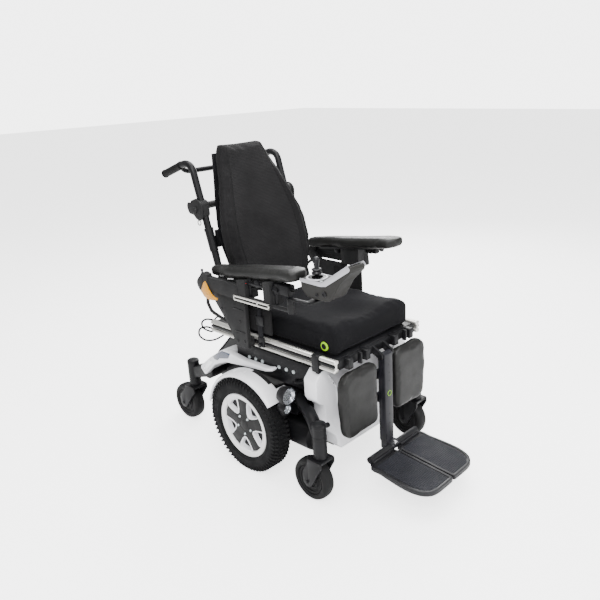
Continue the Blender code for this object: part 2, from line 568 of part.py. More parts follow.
# ---------------------------------------------------------------- seat
def make_seat_frame():
    half = RAIL_X - RAIL_W / 2 - GAP
    pan = box((-half, RAIL_FRONT + 0.014, PAN_LOW), (half, RAIL_BACK - 0.002, PAN_TOP))
    tail = box((-TUB_HALF, RAIL_BACK - 0.010, PAN_LOW), (TUB_HALF, TILT_PIVOT[0] + 0.030, PAN_TOP))
    bars = [box((-half, y, PAN_LOW - 0.021), (half, y + 0.025, PAN_LOW + 0.001)) for y in (-0.262, 0.196)]
    front = box((-half, RAIL_FRONT + 0.006, PAN_LOW - 0.031), (half, RAIL_FRONT + 0.028, PAN_TOP - 0.004), 0.003)
    y, z = TILT_PIVOT
    lug = rounded([(y - 0.028, PAN_LOW + 0.001), (y - 0.013, z - 0.013), (y + 0.013, z - 0.013),
                   (y + 0.028, PAN_LOW + 0.001)], [0, 0.012, 0.012, 0], 2)
    ey, ez = ROD_EYE
    eye = rounded([(ey - 0.022, PAN_LOW + 0.001), (ey - 0.010, ez - 0.010), (ey + 0.010, ez - 0.010),
                   (ey + 0.022, PAN_LOW + 0.001)], [0, 0.008, 0.008, 0], 2)
    hy, hz = BACK_FOOT
    ear = rounded([(hy - 0.024, PAN_TOP - 0.001), (hy - 0.015, hz + 0.016), (hy + 0.015, hz + 0.016),
                   (hy + 0.030, PAN_TOP - 0.001)], [0, 0.012, 0.012, 0], 2)
    parts, holes = [], []
    inside = TUB_HALF - 0.008 - 0.001
    for side in (-1, 1):
        parts.append(prism(lug, "X", side * (inside - 0.009), side * inside))
        holes.append(rod((side * (inside - 0.02), y, z), (side * (inside + 0.01), y, z), 0.007 + RUN, 14))
        parts.append(prism(eye, "X", side * 0.0105, side * 0.0145))
        plate = CANE_X - CANE_R - 0.001
        parts.append(prism(ear, "X", side * (plate - 0.006), side * plate))
        parts.append(rod((side * (plate - 0.002), hy, hz), (side * (CANE_X + CANE_R + 0.002), hy, hz), 0.006, 16))
    parts.append(rod((-0.012, ey, ez), (0.012, ey, ez), 0.005, 16))
    hy, hz = LEG_HINGE
    for side in (-1, 1):
        hinge = rounded([(RAIL_FRONT + 0.008, PAN_LOW - 0.030), (RAIL_FRONT + 0.008, PAN_LOW - 0.002),
                         (hy - 0.012, hz + 0.012), (hy - 0.012, hz - 0.012)], [0, 0, 0.010, 0.010], 2)
        parts.append(prism(hinge, "X", side * (COLUMN_W / 2 + 0.002), side * (COLUMN_W / 2 + 0.010)))
        parts.append(rod((side * (COLUMN_W / 2 - 0.012), hy, hz), (side * (COLUMN_W / 2 + 0.009), hy, hz), 0.006, 16))
    frame = cut(join(pan, tail, *bars, front, *parts), *holes)
    place("seat_frame", frame, BLACK, (0, *TILT_PIVOT), 0.5)


def make_rail(name, side):
    """An extruded rail with a round ridge at the top and one below it on each side."""
    half, low, top = RAIL_W / 2, RAIL_LOW, RAIL_TOP
    ridge = (top - low) * 0.30
    def edge(way):
        points = []
        for middle in (low + ridge * 0.6, top - ridge * 0.6):
            for k in range(5):
                angle = math.radians(-90 + 45 * k)
                points.append((way * (half - ridge * 0.5 + ridge * 0.5 * math.cos(angle)),
                               middle + ridge * 0.5 * math.sin(angle)))
        return points
    outline = edge(1) + edge(-1)[::-1]
    outline = [(side * RAIL_X + x, z) for x, z in outline]
    place(f"seat_rail_{name}", prism(outline, "Y", RAIL_FRONT, RAIL_BACK), SILVER, (0, *TILT_PIVOT), 0.3, 0.9)


def make_seat_cushion():
    half = RAIL_X - RAIL_W / 2 - 0.0015
    low = PAN_TOP + 0.001
    outline = rounded([(-half, SEAT_FRONT), (half, SEAT_FRONT), (half, SEAT_BACK), (-half, SEAT_BACK)],
                      [0.02, 0.02, 0.03, 0.03], 2)
    place("seat_cushion", prism(outline, "Z", low, SEAT_TOP, 0.010, 2), FABRIC, (0, *TILT_PIVOT), 0.9)


def make_side_bracket(name, side):
    face = RAIL_X + RAIL_W / 2 + GAP
    inner, outer = face + 0.018, ARM_PLATE_IN - 0.001
    y, z = ARM_HINGE
    shell = rounded([(-0.024, RAIL_LOW + 0.004), (-0.026, 0.6475), (0.112, 0.6475), (0.138, 0.668),
                     (y - 0.015, z + 0.014), (y + 0.015, z + 0.014), (y + 0.024, z - 0.020), (0.142, 0.615),
                     (0.089, 0.551), (0.052, 0.500), (0.046, RAIL_LOW + 0.004)],
                    [0.006, 0.006, 0.02, 0.01, 0.012, 0.012, 0.02, 0.02, 0.03, 0.02, 0.006], 1)
    plate = prism(shell, "X", side * inner, side * outer, 0.002, 1)
    clamp = box((*span(side, face, inner + 0.004)[:1], -0.020, RAIL_LOW + 0.006),
                (span(side, face, inner + 0.004)[1], 0.042, RAIL_TOP - 0.004), 0.002)
    pin = rod((side * (outer - 0.003), y, z), (side * (ARM_PLATE_IN + 0.020), y, z), 0.006, 16)
    tail = smooth_route([(side * (inner + 0.006), 0.060, 0.530), (side * (inner + 0.006), 0.120, 0.545),
                         (side * (inner + 0.004), 0.180, 0.560), (side * (inner + 0.004), 0.196, 0.585),
                         (side * (inner + 0.006), 0.184, 0.618), (side * (inner + 0.006), 0.150, 0.640)], 0.02)
    place(f"side_bracket_{name}", join(plate, clamp, pin, tube(tail, 0.006, 2)), CHARCOAL, (0, *TILT_PIVOT), 0.5)


# ---------------------------------------------------------------- armrests
def pad_low(y):
    return ARM_PAD_LOW + (ARM_PAD_BACK - y) * ARM_PAD_RISE


def make_arm(name, side):
    y, z = ARM_HINGE
    inner, outer = ARM_PLATE_IN, ARM_PLATE_IN + 0.021
    cover = rounded([(y - 0.024, 0.640), (y - 0.024, 0.712), (y + 0.004, 0.717), (y + 0.037, 0.676),
                     (y + 0.012, 0.634)], [0.006, 0.008, 0.012, 0.010, 0.02], 2)
    body = prism(cover, "X", side * (inner + 0.0003), side * (outer + 0.007), 0.003, 1)
    holds_remote = side < 0
    tip, feet = (-0.026, ((-0.060, -0.020), (-0.180, -0.150))) if holds_remote else (-0.118, ((-0.112, -0.024),))
    beam = prism(rounded([(y - 0.020, 0.651), (y - 0.020, 0.701), (tip + 0.006, 0.703), (tip, 0.651)],
                         [0, 0, 0.01, 0.004], 1), "X", side * inner, side * outer)
    posts = []
    for front, back in feet:
        post = [(front, 0.655), (front, pad_low(front) - 0.003), (back, pad_low(back) - 0.003), (back, 0.655)]
        posts.append(prism(post, "X", side * (ARM_X - 0.012), side * (outer - 0.0014)))
    carrier = [(0.080, pad_low(0.080) - 0.007), (0.080, pad_low(0.080) - GAP), (-0.215, pad_low(-0.215) - GAP),
               (-0.215, pad_low(-0.215) - 0.007)]
    plate = prism(carrier, "X", side * (ARM_X - 0.022), side * (ARM_X + 0.020))
    parts = [beam, *posts, plate]
    if holds_remote:
        rx, ry = REMOTE_HINGE
        low, high = span(side, inner + 0.0008, outer - 0.0008)
        parts.append(box((low, -0.182, 0.6495), (high, 0.0, 0.6645)))
        parts.append(rod((side * rx, -0.170, 0.6575), (side * rx, ry, 0.6575), 0.007, 16))
        parts.append(rod((side * rx, ry, 0.650), (side * rx, ry, 0.680), 0.011, 16))
        parts.append(rod((side * rx, ry, 0.679), (side * rx, ry, 0.696), 0.005, 16))
    hole = rod((side * (inner - 0.01), y, z), (side * (outer + 0.001), y, z), 0.006 + RUN, 14)
    place(f"arm_{name}", cut(join(body, *parts), hole), CHARCOAL, (side * inner, y, z), 0.45)

    half = ARM_PAD_W / 2
    cane_side = CANE_X + CANE_R + 0.002
    outline = rounded([(cane_side, ARM_PAD_BACK), (ARM_PLATE_IN - 0.002, ARM_PAD_BACK),
                       (ARM_PLATE_IN - 0.002, y - 0.045), (ARM_X + half, y - 0.105), (ARM_X + half, -0.12),
                       (ARM_X + half + 0.008, ARM_PAD_FRONT + 0.03), (ARM_X + half + 0.004, ARM_PAD_FRONT),
                       (ARM_X - half, ARM_PAD_FRONT), (ARM_X - half - 0.004, ARM_PAD_FRONT + 0.05),
                       (ARM_X - half, -0.040), (cane_side, 0.020)],
                      [0.022, 0.018, 0.05, 0.05, 0.1, 0.02, 0.030, 0.030, 0.03, 0.05, 0.05], 1)
    outline = [(side * px, py) for px, py in outline]
    pad = prism(outline, "Z", 0, ARM_PAD_T, 0.009, 2)
    for vert in pad.data.vertices:
        vert.co.z += pad_low(vert.co.y)
    place(f"arm_pad_{name}", pad, GREY, (side * inner, y, z), 0.5)


# ---------------------------------------------------------------- remote
def make_remote():
    x = -REMOTE_X
    half = REMOTE_W / 2
    hx, hy = -REMOTE_HINGE[0], REMOTE_HINGE[1]
    knuckle = rod((hx, hy, 0.6805), (hx, hy, 0.700), 0.011, 16)
    link = box((hx - 0.006, -0.350, 0.694), (hx + 0.010, hy, 0.700))
    cross = box((x - 0.006, -0.352, 0.694), (hx + 0.008, -0.322, 0.700))
    post = box((x - 0.008, -0.352, 0.694), (x + 0.012, -0.330, 0.7107))
    mount = join(knuckle, link, cross, post)
    hole = rod((hx, hy, 0.67), (hx, hy, 0.6975), 0.005 + RUN, 14)
    place("joystick_mount", cut(mount, hole), BLACK, (hx, hy, 0.690), 0.4)

    outline = rounded([(-0.297, DECK_Z), (-0.388, DECK_Z), (-0.492, 0.835), (-0.503, 0.819), (-0.458, 0.776),
                       (-0.424, 0.722), (-0.405, 0.711), (-0.325, 0.711), (-0.300, 0.735)],
                      [0.004, 0.006, 0.006, 0.006, 0.02, 0.01, 0.01, 0.01, 0.01], 1)
    body = prism(outline, "X", x - half, x + half, 0.004, 1)
    pocket = rod((x, STICK_Y, STICK_Z - 0.014), (x, STICK_Y, DECK_Z + 0.01), BOOT_POCKET_R, 14)
    cups = [rod((x + dx, -0.377, DECK_Z - 0.006), (x + dx, -0.377, DECK_Z + 0.01), BUTTON_R + RUN, 14)
            for dx in (-0.024, 0.024)]
    axle = rod((x - BOOT_POCKET_R - 0.002, STICK_Y, STICK_Z), (x - 0.0225, STICK_Y, STICK_Z), 0.0025, 12)
    other = rod((x + BOOT_POCKET_R + 0.002, STICK_Y, STICK_Z), (x + 0.0225, STICK_Y, STICK_Z), 0.0025, 12)
    place("joystick_body", join(cut(body, pocket, *cups), axle, other), GREY, (hx, hy, 0.690), 0.4)

    centre = (x, STICK_Y, STICK_Z)
    ring = cut(rod((x, STICK_Y, STICK_Z - 0.006), (x, STICK_Y, STICK_Z + 0.006), 0.0240, 14),
               rod((x, STICK_Y, STICK_Z - 0.01), (x, STICK_Y, STICK_Z + 0.01), 0.0190, 14),
               rod((x - 0.03, STICK_Y, STICK_Z), (x + 0.03, STICK_Y, STICK_Z), 0.0025 + RUN, 12))
    pins = [rod((x, STICK_Y + way * 0.0205, STICK_Z), (x, STICK_Y + way * 0.0115, STICK_Z), 0.0022, 12)
            for way in (-1, 1)]
    place("joystick_gimbal", join(ring, *pins), SILVER, centre, 0.3, 0.9)

    ball = rod((x, STICK_Y, STICK_Z - 0.009), (x, STICK_Y, STICK_Z + 0.009), 0.0150, 14, bevel=0.003)
    hole = rod((x, STICK_Y - 0.03, STICK_Z), (x, STICK_Y + 0.03, STICK_Z), 0.0022 + RUN, 12)
    stem = rod((x, STICK_Y, STICK_Z + 0.004), (x, STICK_Y, DECK_Z + 0.030), 0.005, 16)
    knob = turned_up([(0, 0.020), (0.0075, 0.021), (0.0085, 0.026), (0.0075, 0.032), (0.0095, 0.044),
                      (0.0105, 0.054), (0.0085, 0.060), (0, 0.062)], x, STICK_Y, DECK_Z)
    place("joystick_stick", join(cut(ball, hole), stem, knob), BLACK, centre, 0.4)
    for label, dx in (("power_button", -0.024), ("horn_button", 0.024)):
        button = rod((x + dx, -0.377, DECK_Z - 0.0045), (x + dx, -0.377, DECK_Z + 0.0018), BUTTON_R, 20, bevel=0.0008)
        place(label, button, SILVER, (x + dx, -0.377, DECK_Z), 0.4)


def turned_up(profile, x, y, base):
    """Turn a (radius, height) profile about an upright line, closed on the line at both ends."""
    bm = bmesh.new()
    steps = 10
    rings = []
    for radius, height in profile:
        if radius:
            rings.append([bm.verts.new((x + radius * math.cos(a), y + radius * math.sin(a), base + height))
                          for a in (2 * math.pi * k / steps for k in range(steps))])
        else:
            rings.append([bm.verts.new((x, y, base + height))] * steps)
    for low, high in zip(rings, rings[1:]):
        for k in range(steps):
            corners = [low[k], low[(k + 1) % steps], high[(k + 1) % steps], high[k]]
            bm.faces.new(list(dict.fromkeys(corners)))
    return shape(bm)


# ---------------------------------------------------------------- backrest
def cane_y(z):
    """Where the straight part of a cane is at a height."""
    return BACK_FOOT[0] + (z - BACK_FOOT[1]) * math.tan(RECLINE)


def back_half(t):
    """Half of the back cushion's width, from 0 at the bottom to 1 at the top."""
    corners = [(0.0, 0.138), (0.08, 0.158), (0.20, 0.186), (0.36, 0.199), (0.52, 0.190), (0.70, 0.161),
               (0.86, 0.130), (0.95, 0.114), (1.0, 0.098)]
    for (t0, w0), (t1, w1) in zip(corners, corners[1:]):
        if t <= t1:
            return w0 + (w1 - w0) * (t - t0) / (t1 - t0)
    return corners[-1][1]


def back_y(t, u, share=1.0):
    """The middle of the cushion's thickness: flat in the centre, its sides curling forward."""
    z = BACK_LOW + (BACK_TOP - BACK_LOW) * t
    curl = share * 0.046 * math.sin(math.pi * min(1, 0.12 + t * 0.95)) ** 0.7
    return cane_y(z) - CANE_R - PAD_THICK / 2 + 0.002 - curl * abs(u) ** 2.4


def back_sheet(front, back, share, t_low, t_high, rows=10, columns=8, curl=1.0):
    """A curved closed slab that follows the back cushion between two depths."""
    bm = bmesh.new()
    grid = []
    for depth in (front, back):
        layer = []
        for i in range(rows + 1):
            t = t_low + (t_high - t_low) * i / rows
            z = BACK_LOW + (BACK_TOP - BACK_LOW) * t
            row = []
            for j in range(columns + 1):
                u = -1 + 2 * j / columns
                row.append(bm.verts.new((u * back_half(t) * share, back_y(t, u * share, curl) + depth, z)))
            layer.append(row)
        grid.append(layer)
    for layer in grid:
        for i in range(rows):
            for j in range(columns):
                bm.faces.new((layer[i][j], layer[i][j + 1], layer[i + 1][j + 1], layer[i + 1][j]))
    first, second = grid
    for i in range(rows):
        for j in (0, columns):
            bm.faces.new((first[i][j], first[i + 1][j], second[i + 1][j], second[i][j]))
    for j in range(columns):
        for i in (0, rows):
            bm.faces.new((first[i][j], first[i][j + 1], second[i][j + 1], second[i][j]))
    return shape(bm)


def cane_route(side):
    x = side * CANE_X
    top = cane_y(CANE_TOP)
    return [(x, cane_y(BACK_FOOT[1] - 0.014), BACK_FOOT[1] - 0.014), (x, cane_y(0.70), 0.70), (x, cane_y(0.90), 0.90),
            (x, cane_y(CANE_TOP - 0.012), CANE_TOP - 0.012)] + smooth_route(
        [(x, top + 0.004, CANE_TOP + 0.012), (x, top + 0.022, CANE_TOP + 0.029), (x, top + 0.052, CANE_TOP + 0.029),
         (x, top + 0.110, CANE_TOP + 0.010), (x, top + 0.150, CANE_TOP - 0.004)], 0.030)


def make_back():
    pivot = (0, *BACK_FOOT)
    for name, side in SIDES:
        x = side * CANE_X
        route = cane_route(side)
        start, end = Vector(route[-1]), Vector(route[-1]) + Vector((0, 0.026, -0.0095))
        grip = rod(start - Vector((0, 0.052, -0.0187)), end, 0.0165, 12, bevel=0.004)
        hole = rod((x - 0.03, *BACK_FOOT), (x + 0.03, *BACK_FOOT), 0.006 + RUN, 16)
        place(f"cane_{name}", cut(join(tube(route, CANE_R, 2), grip), hole), BLACK, pivot, 0.4)

    inner = CANE_X - CANE_R - GAP
    handle_y, handle_z = cane_y(CANE_TOP) + 0.080, CANE_TOP + 0.020
    corner = [(-inner + 0.006, handle_y, handle_z), (-inner + 0.016, handle_y + 0.010, handle_z - 0.014),
              (-inner + 0.040, handle_y + 0.012, handle_z - 0.024)]
    bend = [Vector((-inner, handle_y, handle_z))] + smooth_route(corner, 0.012)
    mirror = [Vector((-p.x, p.y, p.z)) for p in reversed(bend)]
    place("push_bar", tube(bend + mirror, 0.009, 2), BLACK, pivot, 0.4)

    z = 0.915
    y = cane_y(z)
    bar = rod((-CANE_X, y + 0.034, z + 0.002), (CANE_X, y + 0.034, z + 0.002), 0.013, 14)
    clamps = []
    for side in (-1, 1):
        lobes = rounded([(y - 0.020, z - 0.030), (y - 0.018, z + 0.026), (y + 0.018, z + 0.036),
                         (y + 0.060, z + 0.022), (y + 0.058, z - 0.020), (y + 0.012, z - 0.036)],
                        [0.010, 0.010, 0.016, 0.016, 0.014, 0.014], 1)
        clamps.append(prism(lobes, "X", side * (CANE_X - 0.016), side * (CANE_X + 0.017), 0.004, 1))
    routes = [tube(cane_route(side)[:4], CANE_R + GAP, 2) for side in (-1, 1)]
    place("back_crossbar", cut(join(bar, *clamps), *routes), CHARCOAL, pivot, 0.45)

    place("back_cushion", back_sheet(-PAD_THICK / 2, PAD_THICK / 2, 1.0, 0.0, 1.0), FABRIC, pivot, 0.9)
    behind = PAD_THICK / 2 + 0.005
    shell = back_sheet(behind, behind + 0.005, 0.90, 0.04, 0.93, 6, 6, 0.5)
    hooks = []
    for side in (-1, 1):
        hooks.append(box((side * 0.070 - 0.012, back_y(0.6, 0) + behind + 0.001, z - 0.012),
                         (side * 0.070 + 0.012, y + 0.034 - 0.013 - GAP, z + 0.014)))
        wing_low, wing_high = z - 0.135, z - 0.075
        high_share = (wing_high - BACK_LOW) / (BACK_TOP - BACK_LOW)
        low, high = span(side, 0.140, CANE_X - CANE_R - GAP)
        wing_y = back_y(high_share, 0.140 / back_half(high_share)) + PAD_THICK / 2 + 0.003
        hooks.append(box((low, wing_y, wing_low), (high, wing_y + 0.014, wing_high)))
    place("back_shell", join(shell, *hooks), BLACK, pivot, 0.5)


# ---------------------------------------------------------------- legrest
def make_legrest():
    hy, hz = LEG_HINGE
    pivot = (0, hy, hz)
    half = COLUMN_W / 2
    outline = rounded([(COLUMN_FRONT, COLUMN_LOW), (COLUMN_FRONT, COLUMN_TOP - 0.006), (hy - 0.016, hz + 0.014),
                       (hy + 0.008, hz + 0.014), (COLUMN_BACK, hz - 0.012), (COLUMN_BACK, COLUMN_LOW)],
                      [0.004, 0.010, 0.008, 0.010, 0.004, 0.004], 1)
    column = prism(outline, "X", -half, half, 0.004, 2)
    parts = []
    for side in (-1, 1):
        low, high = span(side, half - 0.008, CALF_IN + 0.060)
        for z in (CALF_LOW + 0.06, CALF_TOP - 0.09):
            parts.append(box((low, CALF_BACK + GAP, z), (high, CALF_BACK + 0.007, z + 0.030)))
    for z in (CALF_LOW + 0.06, CALF_TOP - 0.09):
        parts.append(box((-half + 0.002, COLUMN_BACK - 0.002, z), (half - 0.002, CALF_BACK + 0.007, z + 0.030)))
    fy, fz = FOOT_HINGE
    neck = box((-0.020, fy - 0.004, COLUMN_LOW - 0.026), (0.020, COLUMN_BACK - 0.006, COLUMN_LOW + 0.004))
    bar = rod((-FOOT_HALF + 0.022, fy, fz), (FOOT_HALF - 0.022, fy, fz), 0.007, 14)
    knuckle = rod((-0.0205, fy, fz), (0.0205, fy, fz), 0.013, 16)
    hole = [rod((side * (half - 0.013), hy, hz), (side * (half + 0.01), hy, hz), 0.006 + RUN, 16) for side in (-1, 1)]
    place("legrest_column", cut(join(column, neck, bar, knuckle, *parts), *hole), BLACK, pivot, 0.4)

    for name, side in SIDES:
        outline = rounded([(CALF_IN, CALF_LOW + 0.006), (CALF_OUT - 0.012, CALF_LOW), (CALF_OUT, CALF_TOP - 0.10),
                           (CALF_OUT - 0.004, CALF_TOP), (CALF_IN, CALF_TOP - 0.002)],
                          [0.022, 0.035, 0.06, 0.060, 0.030], 3)
        outline = [(side * x, z) for x, z in outline]
        place(f"calf_pad_{name}", prism(outline, "Y", CALF_FRONT, CALF_BACK, 0.008, 2), GREY, pivot, 0.6)
        make_footplate(name, side)


def make_footplate(name, side):
    fy, fz = FOOT_HINGE
    inner = 0.0025
    length = -(FOOT_FRONT - fy)
    outline = rounded([(inner, fy - 0.004), (inner, FOOT_FRONT), (0.110, FOOT_FRONT), (FOOT_HALF, FOOT_FRONT + 0.055),
                       (FOOT_HALF - 0.006, fy - 0.10), (FOOT_HALF - 0.020, fy - 0.004)],
                      [0.004, 0.008, 0.035, 0.045, 0.06, 0.004], 2)
    outline = [(side * x, y) for x, y in outline]
    thick = 0.016
    plate = prism(outline, "Z", 0, thick, 0.0035, 1)
    middle = (inner + FOOT_HALF) / 2
    tray = rounded([(inner + 0.010, fy - 0.026), (inner + 0.010, FOOT_FRONT + 0.012), (0.104, FOOT_FRONT + 0.012),
                    (FOOT_HALF - 0.013, FOOT_FRONT + 0.058), (FOOT_HALF - 0.018, fy - 0.10),
                    (FOOT_HALF - 0.030, fy - 0.026)], [0.004, 0.004, 0.032, 0.04, 0.06, 0.004], 2)
    tray = [(side * x, y) for x, y in tray]
    plate = cut(plate, prism(tray, "Z", thick - 0.003, thick + 0.01))
    fall = math.tan(FOOT_FALL)
    for vert in plate.data.vertices:
        vert.co.z += fz - 0.010 - thick / 2 - 0.004 + (vert.co.y - fy) * fall
    low, high = span(side, 0.0215, FOOT_HALF - 0.020)
    barrel = rod((low, fy, fz), (high, fy, fz), 0.0125, 14)
    web = box((low + 0.001, fy - 0.016, fz - 0.022), (high - 0.001, fy, fz))
    hole = rod((low - 0.01, fy, fz), (high + 0.01, fy, fz), 0.007 + RUN, 14)
    notch = box((-0.0213, fy - 0.022, fz - 0.05), (0.0213, fy + 0.02, fz + 0.03))
    plate = cut(join(plate, barrel, web), hole, notch)
    place(f"footplate_{name}", plate, CHARCOAL, (0, fy, fz), 0.6)


# ---------------------------------------------------------------- cables
SEAT_CABLE = [(-0.150, 0.2240, 0.476), (-0.176, 0.253, 0.482), (-0.196, 0.290, 0.486), (-0.203, 0.313, 0.470),
              (-0.200, 0.310, 0.446), (-0.188, 0.280, 0.436), (-0.184, 0.273, 0.446), (-0.194, 0.300, 0.452),
              (-0.206, 0.328, 0.440), (-0.207, 0.332, 0.412), (-0.196, 0.306, 0.396), (-0.172, 0.273, 0.402),
              (-0.140, 0.243, 0.430), (-0.120, 0.2240, 0.470)]


def make_cables():
    step = 0.014
    place("seat_cable", tube(smooth_route(SEAT_CABLE, step), 0.0025, 2), BLACK, (0, *TILT_PIVOT), 0.6)


# ---------------------------------------------------------------- the whole chair
def main():
    clear_scene()
    for name, side in SIDES:
        make_wheel(name, side)
        make_castor(name, side, FRONT_STEM, FRONT_TRAIL, "front")
        make_castor(name, side, REAR_STEM, REAR_TRAIL, "rear")
        make_beam(name, side)
        make_fender(name, side)
        make_headlamp(name, side)
        make_rear_arm(name, side)
        make_rail(name, side)
        make_side_bracket(name, side)
        make_arm(name, side)
    make_chassis()
    make_seat_base()
    make_shrouds()
    make_actuator()
    make_seat_frame()
    make_seat_cushion()
    make_remote()
    make_back()
    make_legrest()
    make_cables()


main()
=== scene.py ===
# %% [markdown]
# # A mid-wheel-drive power wheelchair
# The chair is built around a fixed frame of plain engineering solids. This lesson dresses that frame:
# every solid either stays and gets a proper finish, or gives its place to a finer piece of the same
# size. The user sits facing -Y, so the user's right hand is at -X.

# %% Load the frame
import json
import math

import bpy
from mathutils import Matrix, Quaternion, Vector


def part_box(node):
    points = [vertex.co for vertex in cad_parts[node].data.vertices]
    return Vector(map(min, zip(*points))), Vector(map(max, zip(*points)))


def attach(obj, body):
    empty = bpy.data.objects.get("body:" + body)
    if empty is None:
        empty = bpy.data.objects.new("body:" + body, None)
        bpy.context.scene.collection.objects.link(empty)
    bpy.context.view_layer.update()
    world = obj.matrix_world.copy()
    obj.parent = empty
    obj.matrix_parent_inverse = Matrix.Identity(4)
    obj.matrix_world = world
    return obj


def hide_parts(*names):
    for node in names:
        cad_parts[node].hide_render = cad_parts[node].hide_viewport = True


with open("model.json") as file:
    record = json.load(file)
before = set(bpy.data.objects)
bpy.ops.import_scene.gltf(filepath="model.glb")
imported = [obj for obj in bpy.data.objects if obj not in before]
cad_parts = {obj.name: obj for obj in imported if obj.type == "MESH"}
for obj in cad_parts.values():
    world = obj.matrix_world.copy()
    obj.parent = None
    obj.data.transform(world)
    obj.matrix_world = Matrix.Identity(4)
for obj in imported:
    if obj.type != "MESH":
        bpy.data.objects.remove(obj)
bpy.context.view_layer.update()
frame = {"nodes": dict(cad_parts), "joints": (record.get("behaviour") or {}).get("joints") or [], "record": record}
NODES = frame["nodes"]
HINGES = {joint["name"]: joint for joint in frame["joints"]}
DRIVE = Vector(HINGES["drive_right_spin"]["pos_m"])
BODY_OF = {node: body for body, nodes in frame["record"]["behaviour"]["bodies"].items() for node in nodes}
SLOT_OF = {part["node"]: part["material_slot"] for part in frame["record"]["subparts"]}
SIDES = (("right", -1), ("left", 1))

# %% [markdown]
# ## Camera
# The chair is seen from its front right, from above the height of the backrest, through a lens a
# little longer than normal. The camera comes first, because everything else is judged through it.

# %% Camera
def chair(x, y, z):
    """A point given from the drive axle (Y) and the floor (Z)."""
    return Vector((x, y + DRIVE.y, z))


CAMERA_PLACE = chair(-1.562, -1.664, 1.340)
CAMERA_HEADING = math.radians(47.95)
CAMERA_DROP = math.radians(19.25)
CAMERA_ROLL = math.radians(-2.24)
LENS_MM = 39.27

bpy.ops.object.camera_add(location=CAMERA_PLACE)
camera = bpy.context.object
ahead = Vector((math.sin(CAMERA_HEADING) * math.cos(CAMERA_DROP),
                math.cos(CAMERA_HEADING) * math.cos(CAMERA_DROP), -math.sin(CAMERA_DROP)))
camera.rotation_mode = "QUATERNION"
camera.rotation_quaternion = ahead.to_track_quat("-Z", "Y") @ Quaternion((0, 0, 1), CAMERA_ROLL)
camera.data.lens = LENS_MM
camera.data.shift_x = -0.08
camera.data.shift_y = 0.005
camera.data.clip_end = 60
bpy.context.scene.camera = camera
print("camera at", [round(v, 3) for v in camera.location])

# %% [markdown]
# ## Studio
# A wide pale floor and big soft lamps. Black parts only show their shape through soft reflections,
# so the lamps are large panels, and one of them skims the dark side from behind.

# %% Floor and lamps
FLOOR_GLOW = 2.4            # lifts the floor towards white, only where the camera sees it
SKY_LIGHT, SKY_SEEN = 0.75, 6.0     # the sky as a lamp, and the sky as the camera sees it

bpy.ops.mesh.primitive_plane_add(size=40, location=(0, 0, -0.001))
floor = bpy.context.object
floor.name = "studio_floor"
floor_finish = bpy.data.materials.new("floor_paint")
floor_finish.use_nodes = True
paint = floor_finish.node_tree.nodes["Principled BSDF"]
paint.inputs["Base Color"].default_value = (0.90, 0.90, 0.90, 1)
paint.inputs["Roughness"].default_value = 0.9
seen_by = floor_finish.node_tree.nodes.new("ShaderNodeLightPath")
lift = floor_finish.node_tree.nodes.new("ShaderNodeMath")
lift.operation = "MULTIPLY"
lift.inputs[1].default_value = FLOOR_GLOW
floor_finish.node_tree.links.new(seen_by.outputs["Is Camera Ray"], lift.inputs[0])
floor_finish.node_tree.links.new(lift.outputs[0], paint.inputs["Emission Strength"])
floor.data.materials.append(floor_finish)

world = bpy.data.worlds.new("studio")
world.use_nodes = True
backdrop = world.node_tree.nodes["Background"]
backdrop.inputs["Color"].default_value = (1, 1, 1, 1)
backdrop.inputs["Strength"].default_value = SKY_LIGHT
seen = world.node_tree.nodes.new("ShaderNodeBackground")
seen.inputs["Strength"].default_value = SKY_SEEN
ray = world.node_tree.nodes.new("ShaderNodeLightPath")
choice = world.node_tree.nodes.new("ShaderNodeMixShader")
world.node_tree.links.new(ray.outputs["Is Camera Ray"], choice.inputs["Fac"])
world.node_tree.links.new(backdrop.outputs[0], choice.inputs[1])
world.node_tree.links.new(seen.outputs[0], choice.inputs[2])
world.node_tree.links.new(choice.outputs[0], world.node_tree.nodes["World Output"].inputs["Surface"])
bpy.context.scene.world = world

PANELS = (("key", (-2.6, -2.2, 3.4), 2.4, 260), ("overhead", (0.3, 0.2, 3.6), 3.0, 210),
          ("rim", (2.6, 1.6, 2.0), 1.6, 90), ("front", (0.6, -3.4, 1.3), 1.8, 60))
for name, spot, size, watts in PANELS:
    bpy.ops.object.light_add(type="AREA", location=spot)
    lamp = bpy.context.object
    lamp.name = f"lamp_{name}"
    lamp.data.shape = "SQUARE"
    lamp.data.size = size
    lamp.data.energy = watts
    lamp.rotation_mode = "QUATERNION"
    lamp.rotation_quaternion = (Vector((0, 0, 0.45)) - Vector(spot)).to_track_quat("-Z", "Y")
print(len(PANELS), "lamps and a floor")

# %% [markdown]
# ## Finishes
# Real plastics, paints and rubbers are never one flat colour. Each finish here mixes two close tones
# with slow noise, lets the gloss wander a little, and raises a fine grain. The helper keeps that in
# one place; only its numbers change from powder coat to lacquer to rubber.

# %% One helper for the moulded and painted finishes
def link(tree, start, end):
    tree.links.new(start, end)


def new_finish(name, rough, metal=0.0, coat=0.0, sheen=0.0, gloss=0.12):
    """An empty finish with its plain numbers set, its shader, and the object coordinates."""
    finish = bpy.data.materials.new(name)
    finish.use_nodes = True
    tree = finish.node_tree
    shader = tree.nodes["Principled BSDF"]
    shader.inputs["Roughness"].default_value = rough
    shader.inputs["Metallic"].default_value = metal
    shader.inputs["Specular IOR Level"].default_value = gloss
    shader.inputs["Coat Weight"].default_value = coat
    shader.inputs["Coat Roughness"].default_value = 0.08
    shader.inputs["Sheen Weight"].default_value = sheen
    shader.inputs["Sheen Roughness"].default_value = 0.45
    return finish, tree, shader, tree.nodes.new("ShaderNodeTexCoord").outputs["Object"]


